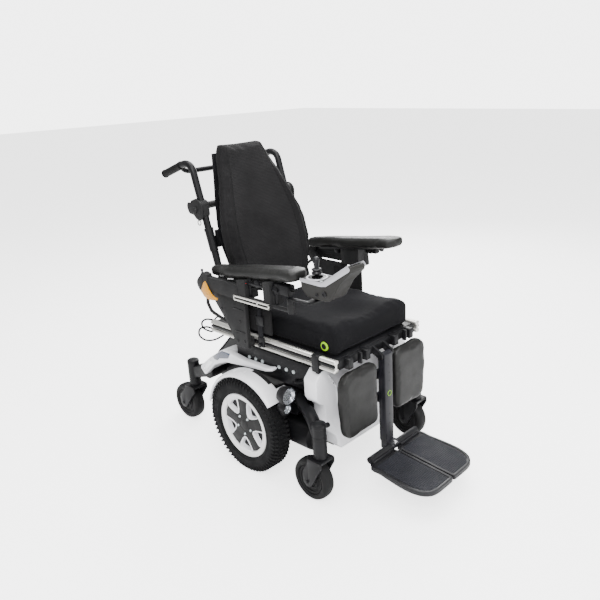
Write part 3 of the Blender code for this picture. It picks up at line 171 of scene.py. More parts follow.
def noise(tree, where, scale, detail=3.0):
    cloud = tree.nodes.new("ShaderNodeTexNoise")
    cloud.inputs["Scale"].default_value = scale
    cloud.inputs["Detail"].default_value = detail
    link(tree, where, cloud.inputs["Vector"])
    return cloud.outputs["Fac"]


def spread(tree, value, low, high, start=0.35, end=0.65):
    """Stretch a 0-1 value over a range."""
    node = tree.nodes.new("ShaderNodeMapRange")
    for key, number in (("From Min", start), ("From Max", end), ("To Min", low), ("To Max", high)):
        node.inputs[key].default_value = number
    link(tree, value, node.inputs["Value"])
    return node.outputs["Result"]


def mixed(tree, share, first, second):
    """Two colours mixed by a share; each may be a colour or another node's output."""
    node = tree.nodes.new("ShaderNodeMix")
    node.data_type = "RGBA"
    link(tree, share, node.inputs["Factor"])
    for socket, colour in ((node.inputs[6], first), (node.inputs[7], second)):
        if isinstance(colour, tuple):
            socket.default_value = (*colour, 1)
        else:
            link(tree, colour, socket)
    return node.outputs[2]


def raised(tree, shader, height, strength, distance):
    bump = tree.nodes.new("ShaderNodeBump")
    bump.inputs["Strength"].default_value = strength
    bump.inputs["Distance"].default_value = distance
    link(tree, height, bump.inputs["Height"])
    link(tree, bump.outputs["Normal"], shader.inputs["Normal"])


def moulded(name, dark, light, rough, metal=0.0, coat=0.0, sheen=0.0, grain=700, strength=0.12,
            depth=0.0004, gloss=0.12):
    """Paint, plastic or rubber: two tones, wandering gloss, fine grain. rough is (low, high)."""
    finish, tree, shader, where = new_finish(name, rough[0], metal, coat, sheen, gloss)
    slow = noise(tree, where, 7.0)
    link(tree, mixed(tree, spread(tree, slow, 0, 1), dark, light), shader.inputs["Base Color"])
    link(tree, spread(tree, noise(tree, where, 26.0), rough[0], rough[1]), shader.inputs["Roughness"])
    raised(tree, shader, noise(tree, where, grain, 2.0), strength, depth)
    return finish


# %% The moulded and painted finishes
FINISH = {
    "black_paint": moulded("black_powder_coat", (0.0042, 0.0042, 0.0048), (0.0068, 0.0068, 0.0078),
                           (0.34, 0.46), grain=900, strength=0.16, gloss=0.18),
    "white_shell": moulded("pearl_white_shell", (0.80, 0.80, 0.83), (0.84, 0.84, 0.87), (0.20, 0.28),
                           coat=0.5, grain=60, strength=0.02, gloss=0.5),
    "charcoal": moulded("charcoal_moulding", (0.014, 0.014, 0.0145), (0.021, 0.021, 0.0215), (0.42, 0.56),
                        grain=1100, strength=0.30),
    "spider_grey": moulded("wheel_insert_grey", (0.016, 0.016, 0.0162), (0.021, 0.021, 0.0212),
                           (0.40, 0.50), grain=900, strength=0.12),
    "tyre": moulded("tyre_rubber", (0.0040, 0.0040, 0.0044), (0.0070, 0.0070, 0.0075), (0.62, 0.80),
                    grain=420, strength=0.25),
    "castor": moulded("castor_rubber", (0.0070, 0.0070, 0.0073), (0.0105, 0.0105, 0.0108), (0.48, 0.62),
                      grain=600, strength=0.15),
    "pad_skin": moulded("polyurethane_skin", (0.0062, 0.0062, 0.0060), (0.0100, 0.0100, 0.0096),
                        (0.38, 0.50), grain=1300, strength=0.35, depth=0.0005, gloss=0.25),
    "remote_grey": moulded("remote_case", (0.020, 0.0195, 0.0185), (0.026, 0.0255, 0.024), (0.38, 0.48),
                           grain=900, strength=0.18),
    "remote_silver": moulded("remote_trim", (0.40, 0.40, 0.43), (0.47, 0.47, 0.50), (0.30, 0.38),
                             metal=0.35, grain=900, strength=0.05, gloss=0.5),
    "knob_rubber": moulded("knob_rubber", (0.0045, 0.0045, 0.0055), (0.0070, 0.0070, 0.0085), (0.34, 0.46),
                           grain=900, strength=0.12, gloss=0.3),
    "alloy": moulded("anodised_rail", (0.66, 0.65, 0.61), (0.74, 0.73, 0.69), (0.26, 0.34), metal=0.85,
                     grain=900, strength=0.02, gloss=0.5),
    "steel": moulded("ground_steel", (0.56, 0.56, 0.58), (0.66, 0.66, 0.67), (0.20, 0.30), metal=1.0,
                     grain=900, strength=0.02, gloss=0.5),
    "bolt": moulded("plated_bolt", (0.40, 0.45, 0.46), (0.55, 0.60, 0.61), (0.22, 0.34), metal=0.7,
                    grain=500, strength=0.05, gloss=0.5),
    "amber": moulded("amber_insert", (0.52, 0.215, 0.0005), (0.58, 0.245, 0.001), (0.24, 0.34), coat=0.3,
                     grain=300, strength=0.04, gloss=0.4),
    "lime": moulded("lime_badge", (0.20, 0.44, 0.002), (0.26, 0.52, 0.004), (0.30, 0.40), grain=600,
                    strength=0.06),
    "red": moulded("red_tab", (0.40, 0.01, 0.012), (0.48, 0.02, 0.02), (0.30, 0.40), grain=600,
                   strength=0.05),
    "blue": moulded("blue_knob", (0.010, 0.018, 0.16), (0.014, 0.025, 0.22), (0.30, 0.42), grain=600,
                    strength=0.06),
    "cable": moulded("cable_jacket", (0.0040, 0.0040, 0.0044), (0.0065, 0.0065, 0.0070), (0.40, 0.52),
                     grain=800, strength=0.10),
    "battery": moulded("battery_case", (0.008, 0.008, 0.009), (0.012, 0.012, 0.013), (0.45, 0.60),
                       grain=800, strength=0.25),
    "mat_rubber": moulded("foot_mat", (0.0075, 0.0080, 0.0115), (0.0110, 0.0115, 0.0160), (0.42, 0.55),
                          grain=1000, strength=0.12, gloss=0.3),
    "column_navy": moulded("column_paint", (0.0060, 0.0060, 0.0085), (0.0085, 0.0085, 0.0120), (0.32, 0.42),
                           grain=900, strength=0.12, gloss=0.35),
    "lamp_strip": moulded("lamp_strip", (0.012, 0.020, 0.040), (0.030, 0.042, 0.080), (0.10, 0.20),
                          coat=1.0, grain=90, strength=0.05, gloss=0.5),
    "grip": moulded("hand_grip", (0.0050, 0.0050, 0.0054), (0.0080, 0.0080, 0.0086), (0.50, 0.62),
                    grain=700, strength=0.3),
}
print(len(FINISH), "moulded finishes")

# %% [markdown]
# Woven covers need their own pattern. The seat wears a smooth stretch cloth, so its threads are very
# fine. The backrest is knitted in fine level ribs, which run across the chair at a few millimetres'
# pitch. Waves along the object's own axes make both, and a soft sheen lifts the edges as nap does.

# %% Cloth finishes
def woven(name, dark, light, rib_axis, pitch, thread, sheen, strength, depth):
    """A cloth with ribs that repeat along rib_axis every pitch metres, and threads across them."""
    finish, tree, shader, where = new_finish(name, 0.85, sheen=sheen)
    heights = []
    for axis, length in ((rib_axis, pitch), ("X" if rib_axis != "X" else "Y", thread)):
        wave = tree.nodes.new("ShaderNodeTexWave")
        wave.bands_direction = axis
        wave.inputs["Scale"].default_value = 0.314 / length
        wave.inputs["Distortion"].default_value = 0.6
        wave.inputs["Detail"].default_value = 1.0
        link(tree, where, wave.inputs["Vector"])
        heights.append(wave.outputs["Fac"])
    both = tree.nodes.new("ShaderNodeMath")
    both.operation = "MULTIPLY_ADD"
    link(tree, heights[1], both.inputs[0])
    both.inputs[1].default_value = 0.35
    link(tree, heights[0], both.inputs[2])
    fuzz = tree.nodes.new("ShaderNodeMath")
    fuzz.operation = "MULTIPLY_ADD"
    link(tree, noise(tree, where, 1500, 2.0), fuzz.inputs[0])
    fuzz.inputs[1].default_value = 0.5
    link(tree, both.outputs[0], fuzz.inputs[2])
    # The cloth's colour follows the weave's height: the grooves between ribs and threads take the dark tone as
    # painted shade, and the crests keep the cloth's own slow mottle.
    tone = mixed(tree, spread(tree, noise(tree, where, 9.0), 0, 1), dark, light)
    link(tree, mixed(tree, spread(tree, both.outputs[0], 0.0, 0.75, 0.1, 1.2), dark, tone),
         shader.inputs["Base Color"])
    raised(tree, shader, fuzz.outputs[0], strength, depth)
    return finish


FINISH["seat_cloth"] = woven("seat_stretch_cloth", (0.0030, 0.0030, 0.0038), (0.0055, 0.0055, 0.0070), "Y",
                             0.0016, 0.0016, 0.02, 0.25, 0.0004)
FINISH["back_knit"] = woven("back_rib_knit", (0.0070, 0.0068, 0.0072), (0.0180, 0.0175, 0.0182), "Z",
                            0.0050, 0.0024, 0.03, 0.65, 0.0010)
FINISH["side_cloth"] = woven("back_side_cloth", (0.0060, 0.0058, 0.0062), (0.0120, 0.0116, 0.0122), "Z",
                             0.0018, 0.0018, 0.02, 0.35, 0.0005)
FINISH["webbing"] = woven("webbing", (0.0050, 0.0050, 0.0065), (0.0120, 0.0120, 0.0150), "Z", 0.0022,
                          0.0022, 0.04, 0.6, 0.0006)

glass, glass_tree, glass_shader, glass_where = new_finish("lamp_lens", 0.03)
glass_shader.inputs["Base Color"].default_value = (0.93, 0.96, 1.0, 1)
glass_shader.inputs["Transmission Weight"].default_value = 0.92
glass_shader.inputs["IOR"].default_value = 1.35
raised(glass_tree, glass_shader, noise(glass_tree, glass_where, 260, 1.0), 0.15, 0.0006)
FINISH["lens"] = glass
FINISH["chrome"] = moulded("lamp_reflector", (0.80, 0.80, 0.82), (0.88, 0.88, 0.90), (0.06, 0.14),
                           metal=1.0, grain=180, strength=0.10)
print("cloth, lens and reflector finishes are ready")

# %% [markdown]
# ## Modelling by hand
# The next helpers are the moves a modeller repeats all day: draw an outline, fill it and pull it out,
# turn it round an axle, or bend a pipe along a route. Each works on one new object, in edit mode, and
# leaves the piece at the origin with its place in its mesh.

# %% Helpers: outline, pull, turn, pipe
PIECES = []


def only(piece):
    bpy.ops.object.select_all(action="DESELECT")
    piece.select_set(True)
    bpy.context.view_layer.objects.active = piece


def draw(points, close=False):
    """One new object with a line of vertices through the points, left in edit mode, all selected."""
    bpy.ops.object.select_all(action="DESELECT")
    points = [Vector(p) for p in points]
    bpy.ops.mesh.primitive_plane_add(size=0.001, location=points[0])
    piece = bpy.context.object
    bpy.ops.object.mode_set(mode="EDIT")
    bpy.ops.mesh.select_all(action="SELECT")
    bpy.ops.mesh.merge(type="CENTER")
    for here, after in zip(points, points[1:]):
        bpy.ops.mesh.extrude_vertices_move(TRANSFORM_OT_translate={"value": after - here})
    bpy.ops.mesh.select_all(action="SELECT")
    if close:
        bpy.ops.mesh.edge_face_add()
    return piece


def settle(piece, name):
    """Out of edit mode, normals outward, place moved into the mesh."""
    if piece.mode == "EDIT":
        bpy.ops.mesh.select_all(action="SELECT")
        bpy.ops.mesh.remove_doubles(threshold=1e-6)
        bpy.ops.mesh.normals_make_consistent(inside=False)
        bpy.ops.object.mode_set(mode="OBJECT")
    only(piece)
    bpy.ops.object.transform_apply(location=True, rotation=True, scale=True)
    piece.name = name
    piece.data.name = name
    return piece


def pull(name, outline, way, bevel=0.0, segments=2):
    """A flat outline filled and pulled along a vector, its rims rounded."""
    piece = draw(outline, close=True)
    bpy.ops.mesh.extrude_region_move(TRANSFORM_OT_translate={"value": Vector(way)})
    settle(piece, name)
    return soften(piece, bevel, segments) if bevel else piece


def turn(name, profile, centre, axis="X", out=1, steps=48, sweep=2 * math.pi, start=0.0):
    """A (radius, along) profile turned round an axle. `out` flips the way `along` points."""
    centre = Vector(centre)
    along = Vector((1, 0, 0)) if axis == "X" else (Vector((0, 0, 1)) if axis == "Z" else Vector((0, 1, 0)))
    first = Vector((0, -1, 0)) if axis == "X" else Vector((1, 0, 0))
    first = Matrix.Rotation(start, 3, -along if axis == "X" else along) @ first
    full = sweep > 6.28
    shut = profile[0][0] > 0 or not full
    piece = draw([centre + first * r + along * a * out for r, a in profile])
    if shut:
        bpy.ops.mesh.edge_face_add()
        if full:
            bpy.ops.mesh.delete(type="ONLY_FACE")
            bpy.ops.mesh.select_all(action="SELECT")
    bpy.ops.mesh.spin(steps=steps, angle=sweep, center=centre, axis=along)
    return settle(piece, name)


def smooth_line(points, step):
    """Points along a smooth curve through the given points."""
    points = [Vector(p) for p in points]
    ends = [points[0] * 2 - points[1]] + points + [points[-1] * 2 - points[-2]]
    line = [points[0]]
    for a, b, c, d in zip(ends, ends[1:], ends[2:], ends[3:]):
        count = max(1, round((c - b).length / step))
        for i in range(1, count + 1):
            t = i / count
            line.append(0.5 * (2 * b + (c - a) * t + (2 * a - 5 * b + 4 * c - d) * t ** 2
                               + (3 * b - a - 3 * c + d) * t ** 3))
    return line


def pipe(name, points, radius, sides=6):
    """A round bar along a line of points, made with a bevelled curve and turned to a mesh."""
    curve = bpy.data.curves.new(name, "CURVE")
    curve.dimensions = "3D"
    curve.bevel_depth = radius
    curve.bevel_resolution = sides
    curve.use_fill_caps = True
    spline = curve.splines.new("POLY")
    spline.points.add(len(points) - 1)
    for point, spot in zip(spline.points, points):
        point.co = (*spot, 1)
    piece = bpy.data.objects.new(name, curve)
    bpy.context.scene.collection.objects.link(piece)
    only(piece)
    bpy.ops.object.convert(target="MESH")
    bpy.ops.object.mode_set(mode="EDIT")
    return settle(bpy.context.object, name)


# %% Helpers: soften, join, dress
def apply_modifier(piece, kind, **settings):
    only(piece)
    modifier = piece.modifiers.new(kind, kind)
    for key, value in settings.items():
        setattr(modifier, key, value)
    bpy.ops.object.modifier_apply(modifier=modifier.name)
    return piece


def soften(piece, width, segments=2, angle=30):
    """Round every edge sharper than `angle`, as any moulded or coated part is."""
    return apply_modifier(piece, "BEVEL", width=width, segments=segments, limit_method="ANGLE",
                          angle_limit=math.radians(angle), harden_normals=False, miter_outer="MITER_ARC")


def block(name, low, high, bevel=0.001, segments=2):
    """A box between two corners with rounded edges."""
    low, high = Vector(low), Vector(high)
    bpy.ops.object.select_all(action="DESELECT")
    bpy.ops.mesh.primitive_cube_add(size=1, location=(low + high) / 2)
    piece = bpy.context.object
    bpy.ops.object.mode_set(mode="EDIT")
    bpy.ops.mesh.select_all(action="SELECT")
    bpy.ops.transform.resize(value=[abs(h - l) for l, h in zip(low, high)])
    settle(piece, name)
    return soften(piece, bevel, segments)


def joined(name, *pieces):
    """Several objects made one, each staying its own shell inside it."""
    bpy.ops.object.select_all(action="DESELECT")
    for piece in pieces:
        piece.select_set(True)
    bpy.context.view_layer.objects.active = pieces[0]
    bpy.ops.object.join()
    pieces[0].name = name
    pieces[0].data.name = name
    return pieces[0]


def dress(piece, finish, body, slot, *replaced, angle=35):
    """Finish, shading, body, and the solids that the piece stands for; slot is not used."""
    only(piece)
    bpy.ops.object.shade_smooth_by_angle(angle=math.radians(angle))
    if not piece.data.materials:
        piece.data.materials.append(FINISH[finish])
    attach(piece, body)
    if replaced:
        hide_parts(*replaced)
    PIECES.append(piece.name)
    return piece


# %% [markdown]
# ## Trued solids
# Most of the frame's solids already have the right shape, but their edges are razor sharp, and no
# real edge is. A copy of each is merged, its flat faces are made whole, and every edge gets a small
# radius, so it catches a thin highlight. The copy then stands for the solid.

# %% Helper: a softened copy of a solid
def trued(node, finish, radius=0.0012, segments=2, angle=35, turn_angle=30, name=None):
    """A solid of the frame drawn again with merged faces and rounded edges, standing for it."""
    only(NODES[node])
    bpy.ops.object.duplicate()
    piece = bpy.context.object
    for key in list(piece.keys()):
        del piece[key]
    piece.parent = None
    piece.data.materials.clear()
    bpy.ops.object.mode_set(mode="EDIT")
    bpy.ops.mesh.select_all(action="SELECT")
    bpy.ops.mesh.remove_doubles(threshold=2e-5)
    bpy.ops.mesh.dissolve_limited(angle_limit=math.radians(0.6))
    settle(piece, name or f"{node}_shell")
    if radius:
        soften(piece, radius, segments, turn_angle)
    return dress(piece, finish, BODY_OF[node], SLOT_OF[node], node, angle=angle)


# %% Frame, covers and forks that keep their shape
TRUED = {
    "black_paint": ["chassis_frame", "seat_base", "seat_frame", "joystick_mount", "back_shell",
                    "actuator_barrel", "motor_right", "motor_left", "rear_arm_right", "rear_arm_left",
                    "front_fork_right", "front_fork_left", "rear_fork_right", "rear_fork_left"],
    "white_shell": ["front_shroud", "shroud_right", "shroud_left"],
    "charcoal": ["rear_cover", "back_crossbar", "side_bracket_right", "side_bracket_left", "arm_right",
                 "arm_left"],
    "battery": ["battery_pack"],
    "alloy": ["power_module", "seat_rail_right", "seat_rail_left"],
    "steel": ["actuator_rod", "joystick_gimbal"],
    "remote_grey": ["joystick_body"],
    "bolt": ["power_button", "horn_button"],
    "column_navy": ["legrest_column"],
}
SMALL_RADIUS = {"joystick_gimbal": 0.0004, "power_button": 0.0, "horn_button": 0.0,
                "seat_rail_right": 0.0006, "seat_rail_left": 0.0006, "shroud_right": 0.0006,
                "shroud_left": 0.0006, "joystick_body": 0.0006, "front_shroud": 0.0060}
for finish, nodes in TRUED.items():
    for node in nodes:
        trued(node, finish, SMALL_RADIUS.get(node, 0.0012))
print(sum(len(nodes) for nodes in TRUED.values()), "solids trued")

# %% [markdown]
# ## Drive wheels
# A drive wheel is what the eye lands on. The tyre is a turned section with chunky blocks round its
# shoulders; the rim is a glossy white dish with five framed windows, and a grey five-armed insert lies
# between them. One block, one window and one screw are modelled, then repeated round the axle.

# %% Helpers: a point on a wheel's face, and repeats round the axle
def on_wheel(hub, side, radius, degrees, along):
    """A point at a radius and an angle (0 forward, climbing) on a wheel, `along` the axle outward."""
    angle = math.radians(degrees)
    return hub + Vector((side * along, -radius * math.cos(angle), radius * math.sin(angle)))


def repeated(piece, hub, count):
    """The piece and its copies, evenly round an axle."""
    only(piece)
    bpy.ops.object.mode_set(mode="EDIT")
    bpy.ops.mesh.select_all(action="SELECT")
    bpy.ops.mesh.spin(steps=count - 1, angle=2 * math.pi * (count - 1) / count, dupli=True, center=hub,
                      axis=(1, 0, 0))
    bpy.ops.mesh.select_all(action="SELECT")
    bpy.ops.mesh.normals_make_consistent(inside=False)
    bpy.ops.object.mode_set(mode="OBJECT")
    return piece


def framed_window(name, outline, way, rise, border, depth):
    """A raised frame round a dark well: pull the outline out, inset its face, push that face in."""
    piece = draw(outline, close=True)
    bpy.ops.mesh.extrude_region_move(TRANSFORM_OT_translate={"value": way * rise})
    bpy.ops.mesh.inset(thickness=border, use_even_offset=True)
    bpy.ops.mesh.extrude_region_move(TRANSFORM_OT_translate={"value": way * -depth})
    piece.data.materials.append(FINISH["white_shell"])
    piece.data.materials.append(FINISH["black_paint"])
    piece.active_material_index = 1
    bpy.ops.object.material_slot_assign()
    settle(piece, name)
    return soften(piece, 0.0016, 3, 40)


# %% Tyre, rim, windows, insert and screws
TREAD_BLOCKS, WINDOWS = 64, 5
for name, side in SIDES:
    hub = Vector(HINGES[f"drive_{name}_spin"]["pos_m"])
    hub.x = sum(corner.x for corner in map(Vector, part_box(f"tyre_{name}"))) / 2
    body = f"drive_{name}"
    section = [(0.1205, -0.029), (0.126, -0.035), (0.142, -0.0375), (0.157, -0.0365), (0.168, -0.031),
               (0.1735, -0.021), (0.1748, -0.008), (0.1748, 0.008), (0.1735, 0.021), (0.168, 0.031),
               (0.157, 0.0365), (0.142, 0.0375), (0.135, 0.0365), (0.133, 0.0375), (0.126, 0.0355),
               (0.1205, 0.029)]
    tyre = turn(f"tyre_{name}_carcass", section, hub, "X", side, 96)
    blocks = []
    for way in (-1, 1):
        across = side * way
        shoulder = block("shoulder_block", hub + Vector((across * 0.0255 - 0.0080, -0.1765, -0.0042)),
                         hub + Vector((across * 0.0255 + 0.0080, -0.1640, 0.0042)), 0.0011, 1)
        only(shoulder)
        bpy.ops.object.mode_set(mode="EDIT")
        bpy.ops.mesh.select_all(action="SELECT")
        bpy.ops.transform.rotate(value=across * math.radians(32), orient_axis="Z",
                                 center_override=hub + Vector((across * 0.0255, -0.168, 0)))
        bpy.ops.object.mode_set(mode="OBJECT")
        wall = block("wall_block", hub + Vector((across * 0.0350 - 0.0030, -0.1690, -0.0032)),
                     hub + Vector((across * 0.0350 + 0.0030, -0.1520, 0.0032)), 0.0010, 1)
        middle = block("middle_block", hub + Vector((across * 0.0085 - 0.0065, -0.1778, 0.0045)),
                       hub + Vector((across * 0.0085 + 0.0065, -0.1700, 0.0125)), 0.0010, 1)
        blocks += [shoulder, wall, middle]
    tread = repeated(joined(f"tyre_{name}_tread", *blocks), hub, TREAD_BLOCKS)
    dress(joined(f"tyre_{name}_rubber", tyre, tread), "tyre", body, "tyre_rubber", f"tyre_{name}")

    dish = [(0.0, 0.0060), (0.0995, 0.0060), (0.1015, 0.0285), (0.1050, 0.0310), (0.1175, 0.0325),
            (0.1205, 0.0300), (0.1205, -0.029), (0.110, -0.029), (0.100, -0.010), (0.0, -0.010)]
    rim = soften(turn(f"rim_{name}_dish", dish, hub, "X", side, 80), 0.0012, 2, 40)
    corners = [(0.0465, -6), (0.0465, 6), (0.0600, 16.0), (0.0830, 20.5), (0.0950, 21.0), (0.1012, 18.5),
               (0.1020, 9), (0.1020, 0), (0.1020, -9), (0.1012, -18.5), (0.0950, -21.0), (0.0830, -20.5),
               (0.0600, -16.0)]
    outline = [on_wheel(hub, side, r, 126 + a, 0.0055) for r, a in corners]
    window = framed_window(f"rim_{name}_windows", outline, Vector((side, 0, 0)), 0.0215, 0.0044, 0.0195)
    windows = repeated(window, hub, WINDOWS)
    dress(joined(f"rim_{name}_white", rim, windows), "white_shell", body, "rim_white", f"rim_{name}",
          angle=40)

    arm = [(0.0480, 54), (0.0600, 70.5), (0.0830, 74.0), (0.0985, 75.5), (0.1000, 90), (0.0985, 104.5),
           (0.0830, 106.0), (0.0600, 109.5)]
    outline = [on_wheel(hub, side, r, a + 360 / WINDOWS * k, 0.0055)
               for k in range(WINDOWS) for r, a in arm]
    insert = pull(f"rim_{name}_insert", outline, (side * 0.0192, 0, 0), 0.0009, 2)
    boss = turn(f"rim_{name}_boss", [(0, 0.0262), (0.018, 0.0262), (0.0195, 0.0252), (0.0195, 0.024),
                                     (0, 0.024)], hub, "X", side, 48)
    dress(joined(f"rim_{name}_spider", insert, boss), "spider_grey", body, "rim_white")
    screw = turn(f"rim_{name}_screws", [(0, 0.0292), (0.0032, 0.0286), (0.0050, 0.0262), (0.0052, 0.0240),
                                        (0, 0.0240)], on_wheel(hub, side, 0.035, 54, 0), "X", side, 20)
    dress(repeated(screw, hub, WINDOWS), "bolt", body, "rim_white")
print("drive wheels built")

# %% [markdown]
# ## Castor wheels
# Solid grey castors with rounded treads. Their faces step in rings towards a small hub with three
# recessed bolts.

# %% Castor wheels
RINGS = [(0, 0.0175), (0.0085, 0.0175), (0.0100, 0.0150), (0.0255, 0.0145), (0.0270, 0.0180),
         (0.0330, 0.0185), (0.0350, 0.0150), (0.0430, 0.0145), (0.0445, 0.0175), (0.0500, 0.0185),
         (0.0515, 0.0165), (0.0535, 0.0165), (0.0550, 0.0205), (0.0610, 0.0225), (0.0675, 0.0222),
         (0.0720, 0.0190), (0.0748, 0.0125), (0.0758, 0.0060)]
for end in ("front", "rear"):
    for name, side in SIDES:
        node = f"{end}_wheel_{name}"
        low, high = (Vector(corner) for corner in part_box(node))
        hub = (low + high) / 2
        profile = RINGS + [(r, -a) for r, a in reversed(RINGS)]
        wheel = turn(f"{node}_rubber", profile, hub, "X", side, 72)
        dress(wheel, "castor", node, "castor_grey", node, angle=40)
        bolt = turn(f"{node}_bolts", [(0, 0.0165), (0.0026, 0.0165), (0.0032, 0.0155), (0.0032, 0.0140),
                                      (0, 0.0140)], on_wheel(hub, side, 0.0175, 90, 0), "X", side, 16)
        dress(repeated(bolt, hub, 3), "black_paint", node, "castor_grey")
print("castor wheels built")

# %% [markdown]
# ## Fenders and lamps
# A fender is one crowned section swept over the tyre, with an outer lip that catches the light. Each
# carries a thin dark patch on its inner top, which is painted shade, and beside it sits a black pod with two
# round lamps: a bright reflector bowl behind a clear lens.

# %% Fenders
def swept_patch(name, hub, side, low, high, start, sweep, radius, thick):
    """A thin plate bent round the axle, `low` to `high` along it."""
    profile = [(radius, low), (radius, high), (radius + thick, high), (radius + thick, low)]
    return turn(name, profile, hub, "X", side, 24, math.radians(sweep), math.radians(start))


for name, side in SIDES:
    hub = Vector(HINGES[f"drive_{name}_spin"]["pos_m"])
    hub.x = 0
    section = [(0.1905, 0.2325), (0.1960, 0.2335), (0.1975, 0.2420), (0.1985, 0.2600), (0.1975, 0.2780),
               (0.1950, 0.2900), (0.1910, 0.2968), (0.1835, 0.2985), (0.1815, 0.2965), (0.1875, 0.2940),
               (0.1915, 0.2870), (0.1938, 0.2760), (0.1948, 0.2600), (0.1938, 0.2440)]
    arch = turn(f"fender_{name}_arch", section, hub, "X", side, 64, math.radians(129), math.radians(39))
    arch = soften(arch, 0.0010, 2, 50)
    low, high = (Vector(corner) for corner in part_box(f"fender_{name}"))
    angle = math.radians(52)
    foot = hub + Vector((0, -0.191 * math.cos(angle), 0.191 * math.sin(angle)))
    xs = sorted((side * 0.1885, side * 0.245))
    strut = block("strut", (xs[0], foot.y - 0.009, foot.z - 0.010),
                  (xs[1], foot.y + 0.009, foot.z - 0.001), 0.0015)
    dress(joined(f"fender_{name}_shell", arch, strut), "white_shell", f"beam_{name}", "shroud_white",
          f"fender_{name}", angle=40)
    # A thin dark plate bent onto the fender's inner top: painted shade, drawn as a patch of castor rubber.
    painted_shade_patch = swept_patch(f"fender_{name}_patch", hub, side, 0.2345, 0.2490, 60, 26, 0.1972, 0.0009)
    dress(painted_shade_patch, "castor", f"beam_{name}", "cover_grey")

# %% Lamps
for name, side in SIDES:
    for label, x, y, z, radius in (("big", 0.259, -0.212, 0.343, 0.033),
                                   ("small", 0.261, -0.203, 0.293, 0.020)):
        face = chair(side * x, y, z)
        r = radius
        shell = [(r - 0.0035, 0.0), (r, 0.002), (r, 0.010), (r * 0.93, 0.022), (r * 0.80, 0.036),
                 (r * 0.5, 0.042), (0, 0.043), (0, 0.040), (r * 0.45, 0.039), (r * 0.74, 0.033),
                 (r - 0.0045, 0.012)]
        pod = turn(f"lamp_{name}_{label}_pod", shell, face, "Y", 1, 48)
        dress(pod, "black_paint", f"beam_{name}", "lamp_black", angle=40)
        bowl = [(r - 0.0048, 0.004), (r - 0.0055, 0.007), (r * 0.70, 0.015), (r * 0.42, 0.022),
                (r * 0.22, 0.025), (r * 0.20, 0.016), (0, 0.014)]
        dress(turn(f"lamp_{name}_{label}_bowl", bowl, face, "Y", 1, 48), "chrome", f"beam_{name}",
              "lamp_black", angle=40)
        pane = [(0, -0.0005), (r * 0.5, 0.0), (r - 0.006, 0.0018), (r - 0.0040, 0.0032),
                (r - 0.0040, 0.0045), (0, 0.0030)]
        dress(turn(f"lamp_{name}_{label}_lens", pane, face, "Y", 1, 48), "lens", f"beam_{name}",
              "lamp_black", angle=40)
    x = side * 0.259
    spine = block(f"lamp_{name}_spine", chair(x - 0.013, -0.192, 0.268), chair(x + 0.013, -0.172, 0.350),
                  0.004)
    xs = sorted((side * 0.1885, side * 0.262))
    bar = block("bar", chair(xs[0], -0.186, 0.3235), chair(xs[1], -0.176, 0.336), 0.002)
    dress(joined(f"lamp_{name}_bracket", spine, bar), "black_paint", f"beam_{name}", "lamp_black",
          f"headlamp_{name}")
print("fenders and lamps built")

# %% [markdown]
# ## Cushions and pads
# Foam under a stretched cover is never flat. Each cushion starts as the frame's own solid, is remeshed
# into small even cells, smoothed, and blown up gently by a cloth simulation with gravity off. The
# movement is capped, so the cushion keeps its size. Seams are laid on the finished surface.

# %% Helpers: lift a solid off the frame, smooth it, plump it
def lifted(node, name):
    """A free copy of a frame solid, without its place in the frame."""
    only(NODES[node])
    bpy.ops.object.duplicate()
    piece = bpy.context.object
    for key in list(piece.keys()):
        del piece[key]
    piece.parent = None
    piece.data.materials.clear()
    bpy.ops.object.mode_set(mode="EDIT")
    return settle(piece, name)


def plumped(piece, voxel, smoothing, pressure, most):
    """Remesh, smooth, inflate by at most `most` metres, and subdivide once."""
    apply_modifier(piece, "REMESH", mode="VOXEL", voxel_size=voxel)
    apply_modifier(piece, "SMOOTH", factor=0.5, iterations=smoothing)
    rest = [vert.co.copy() for vert in piece.data.vertices]
    cloth = piece.modifiers.new("Cloth", "CLOTH")
    cloth.settings.quality = 4
    cloth.settings.use_pressure = True
    cloth.settings.uniform_pressure_force = pressure
    cloth.settings.effector_weights.gravity = 0
    cloth.collision_settings.use_collision = False
    for number in range(1, 21):
        bpy.context.scene.frame_set(number)
    only(piece)
    bpy.ops.object.modifier_apply(modifier=cloth.name)
    bpy.context.scene.frame_set(1)
    moves = [vert.co - start for vert, start in zip(piece.data.vertices, rest)]
    drift = sum(moves, Vector()) / len(moves)
    for vert, start, move in zip(piece.data.vertices, rest, moves):
        move = move - drift
        vert.co = start + move * min(1.0, most / max(move.length, 1e-9))
    apply_modifier(piece, "SMOOTH", factor=0.5, iterations=2)
    return apply_modifier(piece, "SUBSURF", levels=1, render_levels=1)


def nudged(piece, spots):
    """Pull the surface near a point by a vector, with a soft falloff: the modeller's thumb."""
    for spot, move, reach in spots:
        spot = Vector(spot)
        only(piece)
        near = min(piece.data.vertices, key=lambda vert: (vert.co - spot).length_squared).index
        bpy.ops.object.mode_set(mode="EDIT")
        bpy.ops.mesh.select_mode(type="VERT")
        bpy.ops.mesh.select_all(action="DESELECT")
        bpy.ops.object.mode_set(mode="OBJECT")
        piece.data.vertices[near].select = True
        bpy.ops.object.mode_set(mode="EDIT")
        bpy.ops.transform.translate(value=move, use_proportional_edit=True,
                                    proportional_edit_falloff="SMOOTH", proportional_size=reach)
        bpy.ops.object.mode_set(mode="OBJECT")
    return piece


def laid_on(piece, points, way, lift=0.0):
    """Drop points onto a surface along a direction."""
    way = Vector(way).normalized()
    line = []
    for point in points:
        hit, place, _, face = piece.ray_cast(Vector(point) - way * 0.3, way)
        if hit:
            line.append(place - way * lift)
    return line


